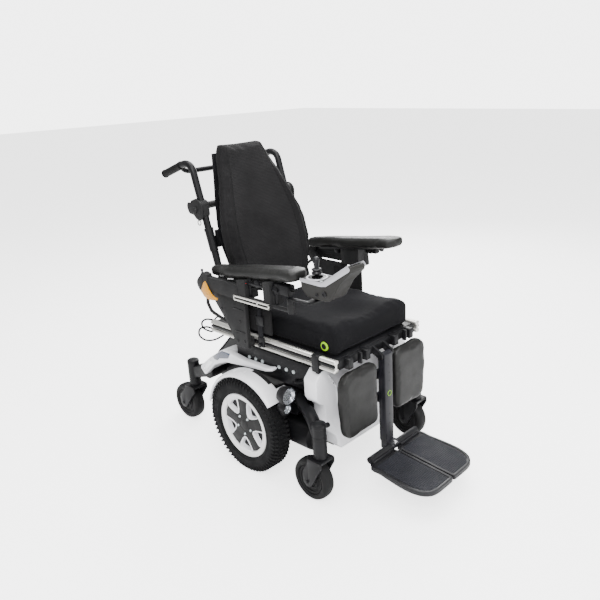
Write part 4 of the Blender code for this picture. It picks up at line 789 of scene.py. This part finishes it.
# %% Seat cushion
low, high = (Vector(corner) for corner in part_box("seat_cushion"))
cushion = block("seat_cushion_cover", low + Vector((0.004, 0.004, 0.001)),
                high - Vector((0.004, 0.004, 0.007)), 0.012, 3)
cushion = plumped(cushion, 0.006, 3, 4.0, 0.011)
front, top = low.y, high.z
cushion = nudged(cushion, [((0, front + 0.10, top), (0, 0, -0.012), 0.11),
                           ((-0.125, front + 0.03, top), (0, 0, 0.007), 0.09),
                           ((0.125, front + 0.03, top), (0, 0, 0.007), 0.09),
                           ((0, high.y - 0.13, top), (0, 0, -0.010), 0.17),
                           ((-0.185, front + 0.24, top), (0, 0, 0.006), 0.09),
                           ((0.185, front + 0.24, top), (0, 0, 0.006), 0.09),
                           ((low.x, front + 0.085, top - 0.05), (0.005, 0, 0), 0.022),
                           ((low.x, front + 0.050, top - 0.05), (-0.003, 0, 0), 0.03)])
dress(cushion, "seat_cloth", "seat", "seat_fabric", "seat_cushion", angle=60)
seam = [Vector((low.x - 0.02, low.y + 0.02 + i * (high.y - low.y - 0.04) / 40, 0.512)) for i in range(41)]
for name, side in SIDES:
    line = [Vector((side * abs(point.x), point.y, point.z)) for point in seam]
    line = laid_on(cushion, line, (-side, 0, 0), 0.0002)
    dress(pipe(f"seat_seam_{name}", line, 0.0013, 3), "webbing", "seat", "seat_fabric")
across = [Vector((low.x + 0.025 + i * (high.x - low.x - 0.05) / 36, low.y - 0.02, 0.512))
          for i in range(37)]
dress(pipe("seat_seam_front", laid_on(cushion, across, (0, 1, 0), 0.0002), 0.0013, 3), "webbing", "seat",
      "seat_fabric")
badge_spot = laid_on(cushion, [Vector((low.x - 0.02, front + 0.052, 0.530))], (1, 0, 0), 0.0)[0]
badge = turn("seat_badge", [(0, 0.0042), (0.0105, 0.0040), (0.0118, 0.0034), (0.0135, 0.0036),
                            (0.0150, 0.0026), (0.0152, -0.004), (0, -0.004)], badge_spot, "X", -1, 40)
dress(badge, "lime", "seat", "seat_fabric")
dot = turn("seat_badge_middle", [(0, 0.0048), (0.0088, 0.0046), (0.0098, 0.0040), (0.0098, 0.0), (0, 0.0)],
           badge_spot, "X", -1, 32)
dress(dot, "seat_cloth", "seat", "seat_fabric")
print("seat cushion has", len(cushion.data.polygons), "faces")

# %% Back cushion
back = lifted("back_cushion", "back_cushion_cover")
back = plumped(back, 0.006, 34, 4.0, 0.010)
low, high = (Vector(corner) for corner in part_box("back_cushion"))
back.data.materials.append(FINISH["back_knit"])
back.data.materials.append(FINISH["side_cloth"])
HALVES = ((0.0, 0.138), (0.08, 0.158), (0.20, 0.186), (0.36, 0.197), (0.52, 0.190), (0.70, 0.160),
          (0.86, 0.130), (0.95, 0.114), (1.0, 0.098))


def back_half(z):
    """Half the width of the backrest cover at a height."""
    t = min(1.0, max(0.0, (z - low.z) / (high.z - low.z)))
    for (t0, w0), (t1, w1) in zip(HALVES, HALVES[1:]):
        if t <= t1:
            return w0 + (w1 - w0) * (t - t0) / (t1 - t0)
    return HALVES[-1][1]


for face in back.data.polygons:
    if abs(face.center.x) > 0.72 * back_half(face.center.z) or face.normal.y > 0.2:
        face.material_index = 1
dress(back, "back_knit", "back", "back_fabric", "back_cushion", angle=60)
for name, side in SIDES:
    heights = [low.z + 0.016 + i * (high.z - low.z - 0.032) / 60 for i in range(61)]
    line = laid_on(back, [Vector((side * 0.72 * back_half(z), low.y - 0.05, z)) for z in heights],
                   (0, 1, 0), 0.0003)
    dress(pipe(f"back_piping_{name}", line, 0.0014, 3), "side_cloth", "back", "back_fabric")
print("back cushion has", len(back.data.polygons), "faces")

# %% Arm pads and calf pads
for name, side in SIDES:
    pad = plumped(lifted(f"arm_pad_{name}", f"arm_pad_{name}_skin"), 0.004, 26, 4.0, 0.004)
    dress(pad, "pad_skin", f"arm_{name}", "pad_grey", f"arm_pad_{name}", angle=60)
    calf = plumped(lifted(f"calf_pad_{name}", f"calf_pad_{name}_skin"), 0.004, 6, 4.0, 0.004)
    dress(calf, "pad_skin", "legrest", "pad_grey", f"calf_pad_{name}", angle=60)
print("arm pads and calf pads are done")

# %% [markdown]
# ## Push canes, grips and the clamp bar
# Each cane is one bent tube. It is drawn again as a smooth pipe on the frame's own line, with a ribbed
# sleeve at the bottom, a rubber grip at the top and a perforated adjusting plate beside it.

# %% Canes
CANE_FOOT_Y, CANE_FOOT_Z = 0.128, 0.535
CANE_LEAN = math.tan(math.radians(15))


def cane_y(z):
    """How far back a cane is at a height."""
    return CANE_FOOT_Y + (z - CANE_FOOT_Z) * CANE_LEAN


for name, side in SIDES:
    x = side * 0.200
    straight = [chair(x, cane_y(z), z) for z in (0.521, 0.60, 0.70, 0.80, 0.90, 1.000)]
    bend = [(0.266, 1.047), (0.284, 1.0625), (0.314, 1.064), (0.372, 1.045), (0.408, 1.032)]
    route = smooth_line(straight + [chair(x, y, z) for y, z in bend], 0.008)
    tube = pipe(f"cane_{name}_tube", route, 0.0125, 8)
    sleeve = pipe("sleeve", [chair(x, cane_y(z), z) for z in (0.768, 0.843)], 0.0152, 8)
    collar = pipe("collar", [chair(x, cane_y(z), z) for z in (0.838, 0.848)], 0.0165, 8)
    foot = pipe("foot", [chair(x, cane_y(z), z) for z in (0.521, 0.556)], 0.0150, 8)
    dress(joined(f"cane_{name}_bar", tube, sleeve, collar, foot), "black_paint", "back", "frame_black",
          f"cane_{name}")
    start, end = chair(x, 0.330, 1.0590), chair(x, 0.438, 1.0215)
    grip = pipe("grip", [start.lerp(end, i / 10) for i in range(11)], 0.0138, 8)
    rings = [pipe("ring", [start.lerp(end, t), start.lerp(end, t + 0.035)], 0.0150, 8)
             for t in (0.01, 0.96)]
    dress(joined(f"cane_{name}_grip", grip, *rings), "grip", "back", "frame_black")
    rim = [(0.705, 0.010), (0.760, 0.004), (0.800, 0.012), (0.862, 0.008), (0.872, 0.020),
           (0.840, 0.040), (0.790, 0.038), (0.760, 0.046), (0.712, 0.040), (0.700, 0.024)]
    plate = pull("plate", [chair(x - side * 0.017, cane_y(z) + dy, z) for z, dy in rim],
                 (side * -0.004, 0, 0), 0.001, 2)
    stud = [(0, 0.0030), (0.0022, 0.0028), (0.0030, 0.0015), (0.0030, -0.001), (0, -0.001)]
    studs = [turn("stud", stud, chair(x - side * 0.017, cane_y(z) + 0.024, z), "X", side, 14)
             for z in (0.724, 0.742, 0.760, 0.778, 0.796, 0.814, 0.832, 0.850)]
    dress(joined(f"adjusting_plate_{name}", plate, *studs), "black_paint", "back", "frame_black")
bend = [(-0.187, 0.342, 1.055), (-0.182, 0.348, 1.043), (-0.160, 0.352, 1.033), (-0.120, 0.353, 1.031)]
bar = smooth_line([chair(*p) for p in bend], 0.006)
bar += [Vector((-p.x, p.y, p.z)) for p in reversed(bar)]
dress(pipe("push_handle", bar, 0.009, 8), "black_paint", "back", "frame_black", "push_bar")
for name, side in SIDES:
    z = 0.915
    lobes = [(-0.022, -0.028), (-0.024, 0.010), (-0.010, 0.030), (0.014, 0.034), (0.034, 0.020),
             (0.056, 0.020), (0.062, 0.004), (0.052, -0.018), (0.030, -0.022), (0.012, -0.036),
             (-0.010, -0.038)]
    cap = pull("cap", smooth_line([chair(side * 0.2170, cane_y(z) + dy, z + dz) for dy, dz in lobes],
                                  0.006), (side * 0.0065, 0, 0), 0.0022, 3)
    knob = turn("knob", [(0, 0.009), (0.009, 0.008), (0.0115, 0.005), (0.0115, -0.002), (0, -0.002)],
                chair(side * 0.2235, cane_y(z) + 0.012, z - 0.002), "X", side, 32)
    wire = [(0.0085 + 0.0016 * math.cos(math.radians(30 * k)), 0.0016 * math.sin(math.radians(30 * k)))
            for k in range(12)]
    ring = turn("ring", wire, chair(side * 0.221, cane_y(0.868) + 0.014, 0.868), "X", side, 28)
    dress(joined(f"clamp_cap_{name}", cap, knob, ring), "charcoal", "back", "cover_grey")
print("canes and grips built")

# %% [markdown]
# ## Armrests and the seat's sides
# The right armrest carries the remote, so it has a slotted rail under its pad. Both share a rounded
# hinge cover with an amber insert. The charcoal side brackets hold a webbing strap for a hip guard.

# %% Hinge covers, rails and small fittings
def sided(name, side, low, high, bevel=0.001):
    """A block on one side of the chair, with x measured outward from the middle."""
    xs = sorted((side * low[0], side * high[0]))
    return block(name, chair(xs[0], *low[1:]), chair(xs[1], *high[1:]), bevel)


def under_beam(y, drop):
    """A height below the armrest's beam, which climbs towards the front."""
    return 0.697 + (0.162 - y) * 0.128 - drop


for name, side in SIDES:
    outer = side * 0.2905
    amber = [(0.1375, 0.6900), (0.1500, 0.6800), (0.1640, 0.6560), (0.1655, 0.6470), (0.1500, 0.6290),
             (0.1180, 0.6240), (0.0830, 0.6300), (0.0800, 0.6345), (0.1080, 0.6440), (0.1260, 0.6620)]
    if side > 0:
        amber = [(y, max(z, 0.6525 + 0.004 * y)) for y, z in amber]
    arc = smooth_line([chair(outer - side * 0.004, y, z) for y, z in amber], 0.006)
    dress(pull(f"hinge_insert_{name}", arc, (side * 0.0055, 0, 0), 0.0014, 2), "amber", f"arm_{name}",
          "cover_grey")
    rim = [(0.150, 0.700), (0.1700, 0.7000), (0.1880, 0.676), (0.1750, 0.6500), (0.1690, 0.6560),
           (0.1560, 0.6800)]
    cap = pull(f"hinge_cap_{name}", smooth_line([chair(outer - side * 0.003, y, z) for y, z in rim], 0.006),
               (side * 0.004, 0, 0), 0.0012, 2)
    dress(cap, "charcoal", f"arm_{name}", "cover_grey")
    peg = turn(f"hinge_peg_{name}", [(0, 0.014), (0.004, 0.013), (0.0052, 0.010), (0.0035, 0.006),
                                     (0.0035, 0), (0, 0)], chair(side * 0.272, 0.176, 0.708), "Z", 1, 24)
    dress(peg, "black_paint", f"arm_{name}", "cover_grey")
    if side < 0:
        strips = [sided("strip", side, (0.2835, -0.178, z - 0.0028), (0.2880, -0.004, z + 0.0028), 0.0008)
                  for z in (0.6508, 0.6632)]
        ends = [sided("end", side, (0.2835, y - 0.002, 0.648), (0.2880, y + 0.002, 0.666), 0.0006)
                for y in (-0.176, -0.122, -0.006)]
        dress(joined(f"slot_rail_{name}", *strips, *ends), "alloy", f"arm_{name}", "cover_grey")
        slot_back = sided(f"slot_back_{name}", side, (0.2835, -0.177, 0.6530), (0.2850, -0.005, 0.6610),
                          0.0003)
        dress(slot_back, "black_paint", f"arm_{name}", "cover_grey")
    fittings = []
    for y, radius, drop in ((0.030, 0.009, 0.020), (-0.004, 0.011, 0.026), (-0.130, 0.010, 0.018),
                            (-0.196, 0.009, 0.012)):
        z = under_beam(y, 0.010)
        fittings.append(turn("fitting", [(0, 0), (radius, 0), (radius, -drop * 0.7), (radius * 0.7, -drop),
                                         (0, -drop)], chair(side * 0.262, y, z), "Z", 1, 20))
    for y in (0.012, -0.018, -0.150, -0.172):
        z = under_beam(y, 0.017)
        fittings.append(block("lump", chair(side * 0.2555 - 0.012, y - 0.010, z - 0.012),
                              chair(side * 0.2555 + 0.012, y + 0.010, z + 0.010), 0.003))
    dress(joined(f"arm_fittings_{name}", *fittings), "black_paint", f"arm_{name}", "cover_grey")
    tab = block(f"lock_tab_{name}", chair(side * 0.272 - 0.006, -0.060, 0.7085),
                chair(side * 0.272 + 0.006, -0.046, 0.7135), 0.0015)
    dress(tab, "red", f"arm_{name}", "cover_grey")
    strap_x = side * 0.2385
    flat = [chair(strap_x, y, z) for y, z in ((-0.057, 0.508), (-0.083, 0.508), (-0.080, 0.628),
                                              (-0.062, 0.630))]
    strap = pull(f"hip_strap_{name}", flat, (side * 0.0016, 0, 0), 0.0005, 2)
    buckle = block("buckle", chair(strap_x - 0.003, -0.088, 0.556), chair(strap_x + 0.004, -0.052, 0.590),
                   0.002)
    clip = block("clip", chair(strap_x - 0.004, -0.084, 0.478), chair(strap_x + 0.005, -0.056, 0.514),
                 0.003)
    clip_knob = turn("clip_knob", [(0, 0.009), (0.007, 0.008), (0.008, 0.004), (0.008, 0), (0, 0)],
                     chair(strap_x + side * 0.004, -0.070, 0.487), "X", side, 24)
    dress(strap, "webbing", "seat", "seat_fabric")
    dress(joined(f"strap_clip_{name}", buckle, clip, clip_knob), "black_paint", "seat", "cover_grey")
    guard = sided(f"hip_guard_{name}", side, (0.2285, -0.122, 0.528), (0.2350, 0.020, 0.640), 0.003)
    dress(guard, "side_cloth", "seat", "seat_fabric")
    screws = [turn("screw", [(0, 0.0028), (0.004, 0.0024), (0.0052, 0.0), (0, 0)],
                   chair(side * 0.2615, y, z), "X", side, 18)
              for y, z in ((-0.010, 0.490), (0.028, 0.485), (0.006, 0.560), (0.100, 0.590))]
    ribs = [sided("rib", side, (0.2610, -0.016, z), (0.2635, 0.036, z + 0.004)) for z in (0.520, 0.602)]
    dress(joined(f"bracket_screws_{name}", *screws, *ribs), "black_paint", "seat", "cover_grey")
print("armrests dressed")

# %% [markdown]
# ## Remote
# A grey case with a silver trim band that runs along its side and up the raised display. The stick
# has a bluish black knob with a small skirt, which leans inside a soft ring round the hole in the deck.

# %% Remote
REMOTE_X = -0.225
STICK = chair(REMOTE_X, -0.337, 0.768)
for side in (-1, 1):
    face = REMOTE_X + side * 0.035
    band = [(-0.2990, 0.7690), (-0.2990, 0.7580), (-0.3840, 0.7560), (-0.4050, 0.7600), (-0.4960, 0.8190),
            (-0.5010, 0.8260), (-0.4930, 0.8358), (-0.4880, 0.8350), (-0.3900, 0.7700)]
    label = "near" if side < 0 else "far"
    trim = pull(f"remote_trim_{label}", [chair(face - side * 0.0010, y, z) for y, z in band],
                (side * 0.0024, 0, 0), 0.0008, 2)
    dress(trim, "remote_silver", "remote", "remote_grey")
PLATES = (("panel", 0.030, (-0.3935, 0.7728), (-0.4890, 0.8342), (0, -0.0011, 0.0016), 0.0008,
           "remote_silver"),
          ("screen", 0.0235, (-0.4020, 0.7800), (-0.4700, 0.8236), (0, -0.0012, 0.0020), 0.0006,
           "knob_rubber"))
for label, half, low_edge, high_edge, rise, bevel, finish in PLATES:
    corners = [chair(REMOTE_X - half, *low_edge), chair(REMOTE_X + half, *low_edge),
               chair(REMOTE_X + half, *high_edge), chair(REMOTE_X - half, *high_edge)]
    dress(pull(f"remote_{label}", corners, rise, bevel, 2), finish, "remote", "remote_grey")
deck = turn("remote_deck_ring", [(0.0282, 0.0004), (0.0290, 0.0026), (0.0320, 0.0026), (0.0335, 0.0004),
                                 (0.0335, -0.003), (0.0282, -0.003)], STICK, "Z", 1, 56)
dress(deck, "remote_silver", "remote", "remote_grey")
for label, y, z, radius in (("side_socket", -0.398, 0.735, 0.0085), ("side_plug", -0.368, 0.728, 0.0050)):
    ring = [(0, 0.0012), (radius * 0.55, 0.0012), (radius * 0.60, 0.0034), (radius, 0.0034),
            (radius, -0.002), (0, -0.002)]
    dress(turn(f"remote_{label}", ring, chair(REMOTE_X - 0.035, y, z), "X", -1, 28), "knob_rubber", "remote",
          "remote_grey")
boot = turn("remote_boot", [(0.0180, 0.0018), (0.0200, 0.0028), (0.0220, 0.0024), (0.0240, 0.0015),
                            (0.0272, 0.0012), (0.0272, -0.0015), (0.0180, -0.0015)],
            STICK, "Z", 1, 48)
dress(boot, "knob_rubber", "remote", "remote_grey")
profile = [(0, 0.0645), (0.0050, 0.0640), (0.0088, 0.0610), (0.0100, 0.0560), (0.0098, 0.0480),
           (0.0084, 0.0400), (0.0076, 0.0330), (0.0085, 0.0300), (0.0140, 0.0280), (0.0158, 0.0255),
           (0.0148, 0.0232), (0.0120, 0.0210), (0.0125, 0.0195), (0.0155, 0.0175), (0.0165, 0.0145),
           (0.0150, 0.0120), (0.0080, 0.0095), (0.0055, 0.0060), (0.0050, -0.0030), (0, -0.0030)]
stick = turn("joystick_knob", profile, STICK, "Z", 1, 48)
dress(stick, "knob_rubber", "stick", "footplate_black", "joystick_stick", angle=50)
print("remote built")

# %% [markdown]
# ## Legrest and footplates
# Each footplate is a shallow tray with a round outer corner, hung from a hinge barrel and falling a
# little towards its front. The column has a row of small screws and one thin green ring. A rubber mat
# lies in each tray: a plane cut into a fine square grid, whose every square is inset and pulled up a little.

# %% Footplates
FALL = math.tan(math.radians(5))
FOOT_HINGE = chair(0, -0.442, 0.124)
PLATE_LOW, PLATE_THICK, RIM_WIDTH, TRAY_DEPTH = 0.102, 0.016, 0.0090, 0.003


def sloped(piece, lift=0.0):
    """Raise a flat piece, and let it fall towards the front as the footplates do."""
    for vert in piece.data.vertices:
        vert.co.z += lift + (vert.co.y - FOOT_HINGE.y) * FALL


for name, side in SIDES:
    rim = [(0.0030, -0.5600), (0.0030, -0.6800), (0.0060, -0.6870), (0.0500, -0.6880), (0.0880, -0.6870),
           (0.1140, -0.6800), (0.1330, -0.6620), (0.1440, -0.6380), (0.1490, -0.6050), (0.1480, -0.5600),
           (0.1420, -0.5000), (0.1320, -0.4480), (0.0150, -0.4465), (0.0120, -0.4500), (0.0120, -0.4640),
           (0.0030, -0.4720), (0.0030, -0.5600)]
    outline = smooth_line([chair(side * x, y, PLATE_LOW) for x, y in rim], 0.012)[:-1]
    plate = draw(outline, close=True)
    bpy.ops.mesh.extrude_region_move(TRANSFORM_OT_translate={"value": (0, 0, PLATE_THICK)})
    bpy.ops.mesh.inset(thickness=RIM_WIDTH)
    bpy.ops.mesh.extrude_region_move(TRANSFORM_OT_translate={"value": (0, 0, -TRAY_DEPTH)})
    settle(plate, f"footplate_{name}_plate")
    soften(plate, 0.0016, 2, 40)
    sloped(plate)
    barrel = pipe("barrel", [Vector((side * x, *FOOT_HINGE.yz)) for x in (0.0215, 0.1300)], 0.0126, 10)
    web = sided("web", side, (0.0225, -0.460, 0.103), (0.129, -0.442, 0.124), 0.003)
    dress(joined(f"footplate_{name}_body", plate, barrel, web), "knob_rubber", f"footplate_{name}",
          "footplate_black", f"footplate_{name}")

# %% Foot mats, latch and column trim
MAT_TOP = 0.1152
for name, side in SIDES:
    inner, outer, back, front = 0.0135, 0.1345, -0.4700, -0.6755
    bpy.ops.object.select_all(action="DESELECT")
    middle = chair(side * (inner + outer) / 2, (back + front) / 2, 0)
    bpy.ops.mesh.primitive_grid_add(x_subdivisions=18, y_subdivisions=30, size=1, location=middle)
    mat = bpy.context.object
    bpy.ops.object.mode_set(mode="EDIT")
    bpy.ops.mesh.select_all(action="SELECT")
    bpy.ops.transform.resize(value=(outer - inner, back - front, 1))
    for x, y, dx, dy in ((0.0980, -0.6760, 0.0240, 0.0180), (0.1220, -0.6580, 0.0125, 0.0360)):
        bpy.ops.mesh.select_all(action="SELECT")
        bpy.ops.mesh.bisect(plane_co=chair(side * x, y, 0), plane_no=(side * dy, -dx, 0), clear_outer=True)
    bpy.ops.mesh.select_all(action="SELECT")
    bpy.ops.mesh.inset(thickness=0.0014, use_individual=True)
    bpy.ops.transform.translate(value=(0, 0, 0.0018))
    settle(mat, f"foot_mat_{name}")
    sloped(mat, MAT_TOP)
    dress(mat, "mat_rubber", f"footplate_{name}", "footplate_black", angle=20)
latch = block("footplate_latch", chair(-0.009, -0.456, 0.126), chair(0.009, -0.438, 0.1385), 0.0025)
dress(latch, "steel", "legrest", "frame_black")
head = [(0, 0.0006), (0.0020, 0.0006), (0.0026, 0.0), (0.0026, -0.002), (0, -0.002)]
screws = [turn("screw", head, chair(0, -0.428, z), "Y", -1, 18)
          for z in (0.170, 0.205, 0.240, 0.365, 0.395, 0.425)]
screws += [turn("screw", head, chair(-0.021, -0.412, z), "X", -1, 18) for z in (0.190, 0.300, 0.410)]
dress(joined("column_screws", *screws), "charcoal", "legrest", "frame_black")
ring = turn("column_ring", [(0.0085, 0.0006), (0.0097, 0.0006), (0.0097, -0.001), (0.0085, -0.001)],
            chair(0, -0.4285, 0.318), "Y", -1, 40)
dress(ring, "lime", "legrest", "frame_black")
print("footplates built")

# %% [markdown]
# ## Base details
# Dome bolts on the seat base, the lamp strip and corner lamp set into each upper shroud, the ridge and
# its blue knob on the front cover, caps on the castor stems, and the clamps under the rails.

# %% Bolts, shroud lamps, front cover
for name, side in SIDES:
    domes = []
    for y in (0.052, 0.017, -0.018, -0.104, -0.140, -0.175):
        z = 0.395 + (0.052 - y) * 0.018
        domes.append(turn("dome", [(0, 0.0058), (0.0040, 0.0050), (0.0068, 0.0028), (0.0076, 0.0),
                                   (0.0076, -0.002), (0, -0.002)], chair(side * 0.198, y, z), "X", side,
                          24))
    dress(joined(f"base_bolts_{name}", *domes), "bolt", "chassis", "frame_black")
    face = side * 0.226
    strip = [(0.128, 0.3965), (0.142, 0.3740), (0.196, 0.3600), (0.206, 0.3500), (0.226, 0.3480),
             (0.236, 0.3580), (0.204, 0.3800), (0.176, 0.3955)]
    glow = pull(f"shroud_strip_{name}", [chair(face - side * 0.0008, y, z) for y, z in strip],
                (side * 0.0022, 0, 0), 0.0008, 2)
    dress(glow, "lamp_strip", "chassis", "shroud_white")
    edge = [(0.2300, 0.3400), (0.2500, 0.3180), (0.2900, 0.2800), (0.3040, 0.2950), (0.2640, 0.3380)]
    frame_piece = framed_window(f"shroud_lamp_{name}", [chair(face - side * 0.0005, y, z) for y, z in edge],
                                Vector((side, 0, 0)), 0.0028, 0.0035, 0.0016)
    frame_piece.data.materials[1] = FINISH["chrome"]
    dress(frame_piece, "white_shell", "chassis", "shroud_white")
    x, y = side * 0.262, -0.345
    cap = turn(f"stem_cap_{name}", [(0, 0.006), (0.017, 0.006), (0.0225, 0.003), (0.0242, -0.002),
                                    (0.0242, -0.010), (0.0232, -0.011), (0, -0.011)], chair(x, y, 0.288),
               "Z", 1, 40)
    knob = turn("knob", [(0, 0.026), (0.0062, 0.0255), (0.0088, 0.023), (0.0088, 0.014), (0.0060, 0.010),
                         (0.0060, 0), (0, 0)], chair(x - side * 0.020, y, 0.268), "X", -side, 24)
    rear_cap = turn("rear_cap", [(0, 0.004), (0.018, 0.004), (0.0225, 0.001), (0.0240, -0.003),
                                 (0.0240, -0.008), (0, -0.008)], chair(side * 0.180, 0.440, 0.272), "Z", 1,
                    40)
    dress(joined(f"stem_cap_{name}", cap, knob), "black_paint", f"beam_{name}", "frame_black")
    dress(rear_cap, "black_paint", f"rear_arm_{name}", "frame_black")
    rail_x = side * 0.215
    clamp = block("clamp", chair(rail_x - 0.0155, -0.325, 0.448), chair(rail_x + 0.0155, -0.295, 0.5075),
                  0.003)
    bolt = block("bolt", chair(rail_x - 0.007, -0.317, 0.440), chair(rail_x + 0.007, -0.303, 0.449), 0.001)
    dress(joined(f"rail_clamp_{name}", clamp, bolt), "black_paint", "seat", "frame_black")
    # A black strip laid along each alloy rail's groove: painted shade in the groove.
    painted_groove_shade = sided(f"rail_groove_{name}", side, (0.215, -0.389, 0.4795), (0.2256, 0.224, 0.4880), 0.0004)
    dress(painted_groove_shade, "black_paint", "seat", "rail_alloy")
brackets = [block("bracket", chair(x - 0.011, -0.404, z), chair(x + 0.011, -0.366, z + 0.036), 0.003)
            for x, z in ((-0.160, 0.460), (-0.075, 0.462), (0.075, 0.462), (0.160, 0.460))]
levers = [block("lever", chair(x - 0.0035, -0.412, 0.466), chair(x + 0.0035, -0.396, 0.505), 0.0015)
          for x in (-0.118, 0.118)]
dress(joined("front_bar_brackets", *brackets, *levers), "black_paint", "seat", "frame_black")
for side in (-1, 1):
    ridge = smooth_line([chair(side * 0.178, -0.3175, 0.420), chair(side * 0.146, -0.3175, 0.370),
                         chair(side * 0.140, -0.3175, 0.300), chair(side * 0.128, -0.3175, 0.230),
                         chair(side * 0.122, -0.3175, 0.160)], 0.008)
    dress(pipe(f"cover_ridge_{'right' if side < 0 else 'left'}", ridge, 0.0035, 4), "white_shell",
          "chassis", "shroud_white")
screw = turn("cover_screw", [(0, 0.0018), (0.0030, 0.0016), (0.0042, 0.0), (0, 0)],
             chair(-0.158, -0.318, 0.385), "Y", -1, 20)
dress(screw, "steel", "chassis", "shroud_white")
knob = turn("cover_knob", [(0, 0.009), (0.0055, 0.0085), (0.0075, 0.006), (0.0075, 0.0), (0, 0)],
            chair(-0.088, -0.318, 0.222), "Y", -1, 24)
dress(knob, "blue", "chassis", "shroud_white")
print("base details built")

# %% [markdown]
# ## Cables
# The seat's cable is clipped to the frame at both ends, so it is a fixed loop. It is drawn again as a
# smooth round cable on the same line, with a second short loop beside it.

# %% Cables
route = [(-0.150, 0.2240, 0.476), (-0.176, 0.253, 0.482), (-0.196, 0.290, 0.486), (-0.203, 0.313, 0.470),
         (-0.200, 0.310, 0.446), (-0.188, 0.280, 0.436), (-0.184, 0.273, 0.446), (-0.194, 0.300, 0.452),
         (-0.206, 0.328, 0.440), (-0.207, 0.332, 0.412), (-0.196, 0.306, 0.396), (-0.172, 0.273, 0.402),
         (-0.140, 0.243, 0.430), (-0.120, 0.2240, 0.470)]
cable = pipe("seat_cable_round", smooth_line([chair(*p) for p in route], 0.004), 0.0034, 4)
dress(cable, "cable", "seat", "cable_black", "seat_cable")
short = [(-0.140, 0.222, 0.484), (-0.168, 0.262, 0.492), (-0.190, 0.262, 0.462), (-0.176, 0.236, 0.452),
         (-0.150, 0.220, 0.470)]
dress(pipe("seat_cable_short", smooth_line([chair(*p) for p in short], 0.004), 0.0030, 4), "cable", "seat",
      "cable_black")
for number, lift in enumerate((0.018, 0.026)):
    run = [(-0.262, 0.060, 0.708 - lift * 0.2), (-0.266, 0.000, 0.712 - lift),
           (-0.262, -0.060, 0.722 - lift), (-0.266, -0.120, 0.726 - lift), (-0.262, -0.180, 0.738 - lift),
           (-0.250, -0.262, 0.742 - lift)]
    dress(pipe(f"arm_cable_{number}", smooth_line([chair(*p) for p in run], 0.006), 0.0028, 4), "cable",
          "arm_right", "cable_black")
print("cables built")

# %% [markdown]
# ## Round castor arms and stems
# The bent tubes of the castor arms and the stems are drawn again as smooth pipes over the trued solids,
# and a dark bracket with gears fills the space between the right armrest and its slotted rail.

# %% Castor arms, stems, armrest bracket
for name, side in SIDES:
    bend = [(0.178, -0.130, 0.284), (0.188, -0.180, 0.299), (0.210, -0.230, 0.296), (0.240, -0.290, 0.287),
            (0.259, -0.329, 0.264), (0.262, -0.345, 0.235)]
    arm = pipe("arm", smooth_line([chair(side * x, y, z) for x, y, z in bend], 0.006), 0.0216, 10)
    stem = pipe("stem", [chair(side * 0.262, -0.345, z) for z in (0.168, 0.286)], 0.0236, 12)
    collar = pipe("collar", [chair(side * 0.262, -0.345, z) for z in (0.236, 0.246)], 0.0246, 12)
    dress(joined(f"castor_arm_{name}", arm, stem, collar), "black_paint", f"beam_{name}", "frame_black")
    rear = pipe(f"rear_stem_{name}", [chair(side * 0.180, 0.440, z) for z in (0.168, 0.270)], 0.0236, 12)
    dress(rear, "black_paint", f"rear_arm_{name}", "frame_black")
x = -0.2625
under = [(0.046, 0.7040), (0.046, 0.7060), (-0.020, 0.7150), (-0.020, 0.6660), (0.000, 0.6600),
         (0.020, 0.6900)]
webs = [pull("web", [chair(x, y, z) for y, z in under], (-0.006, 0, 0), 0.001, 2)]
webs += [block("web", chair(x - 0.007, y, 0.664), chair(x, y + 0.012, 0.728), 0.0015)
         for y in (-0.200, -0.146, -0.076)]
gear = [(0, 0.004), (0.010, 0.004), (0.0125, 0.0025), (0.0125, -0.004), (0, -0.004)]
webs += [turn("gear", gear, chair(x - 0.006, y, z), "X", -1, 28)
         for y, z in ((-0.192, 0.712), (-0.108, 0.716), (0.010, 0.690))]
webs += [block("rib", chair(x - 0.012, -0.206, 0.709), chair(x - 0.004, -0.062, 0.717), 0.002)]
webs += [block("switch", chair(-0.268, -0.250, 0.700), chair(-0.236, -0.196, 0.733), 0.003)]
dress(joined("arm_bracket_right", *webs), "black_paint", "arm_right", "cover_grey")
print("round arms built")

# %% [markdown]
# A solid that no piece stands for would still be bare, so the last loop paints it and says its name.

# %% Finish
for node, solid in NODES.items():
    if not solid.hide_render:
        solid.data.materials.clear()
        solid.data.materials.append(FINISH["black_paint"])
        print("still plain:", node)
print(len(PIECES), "pieces dressed")
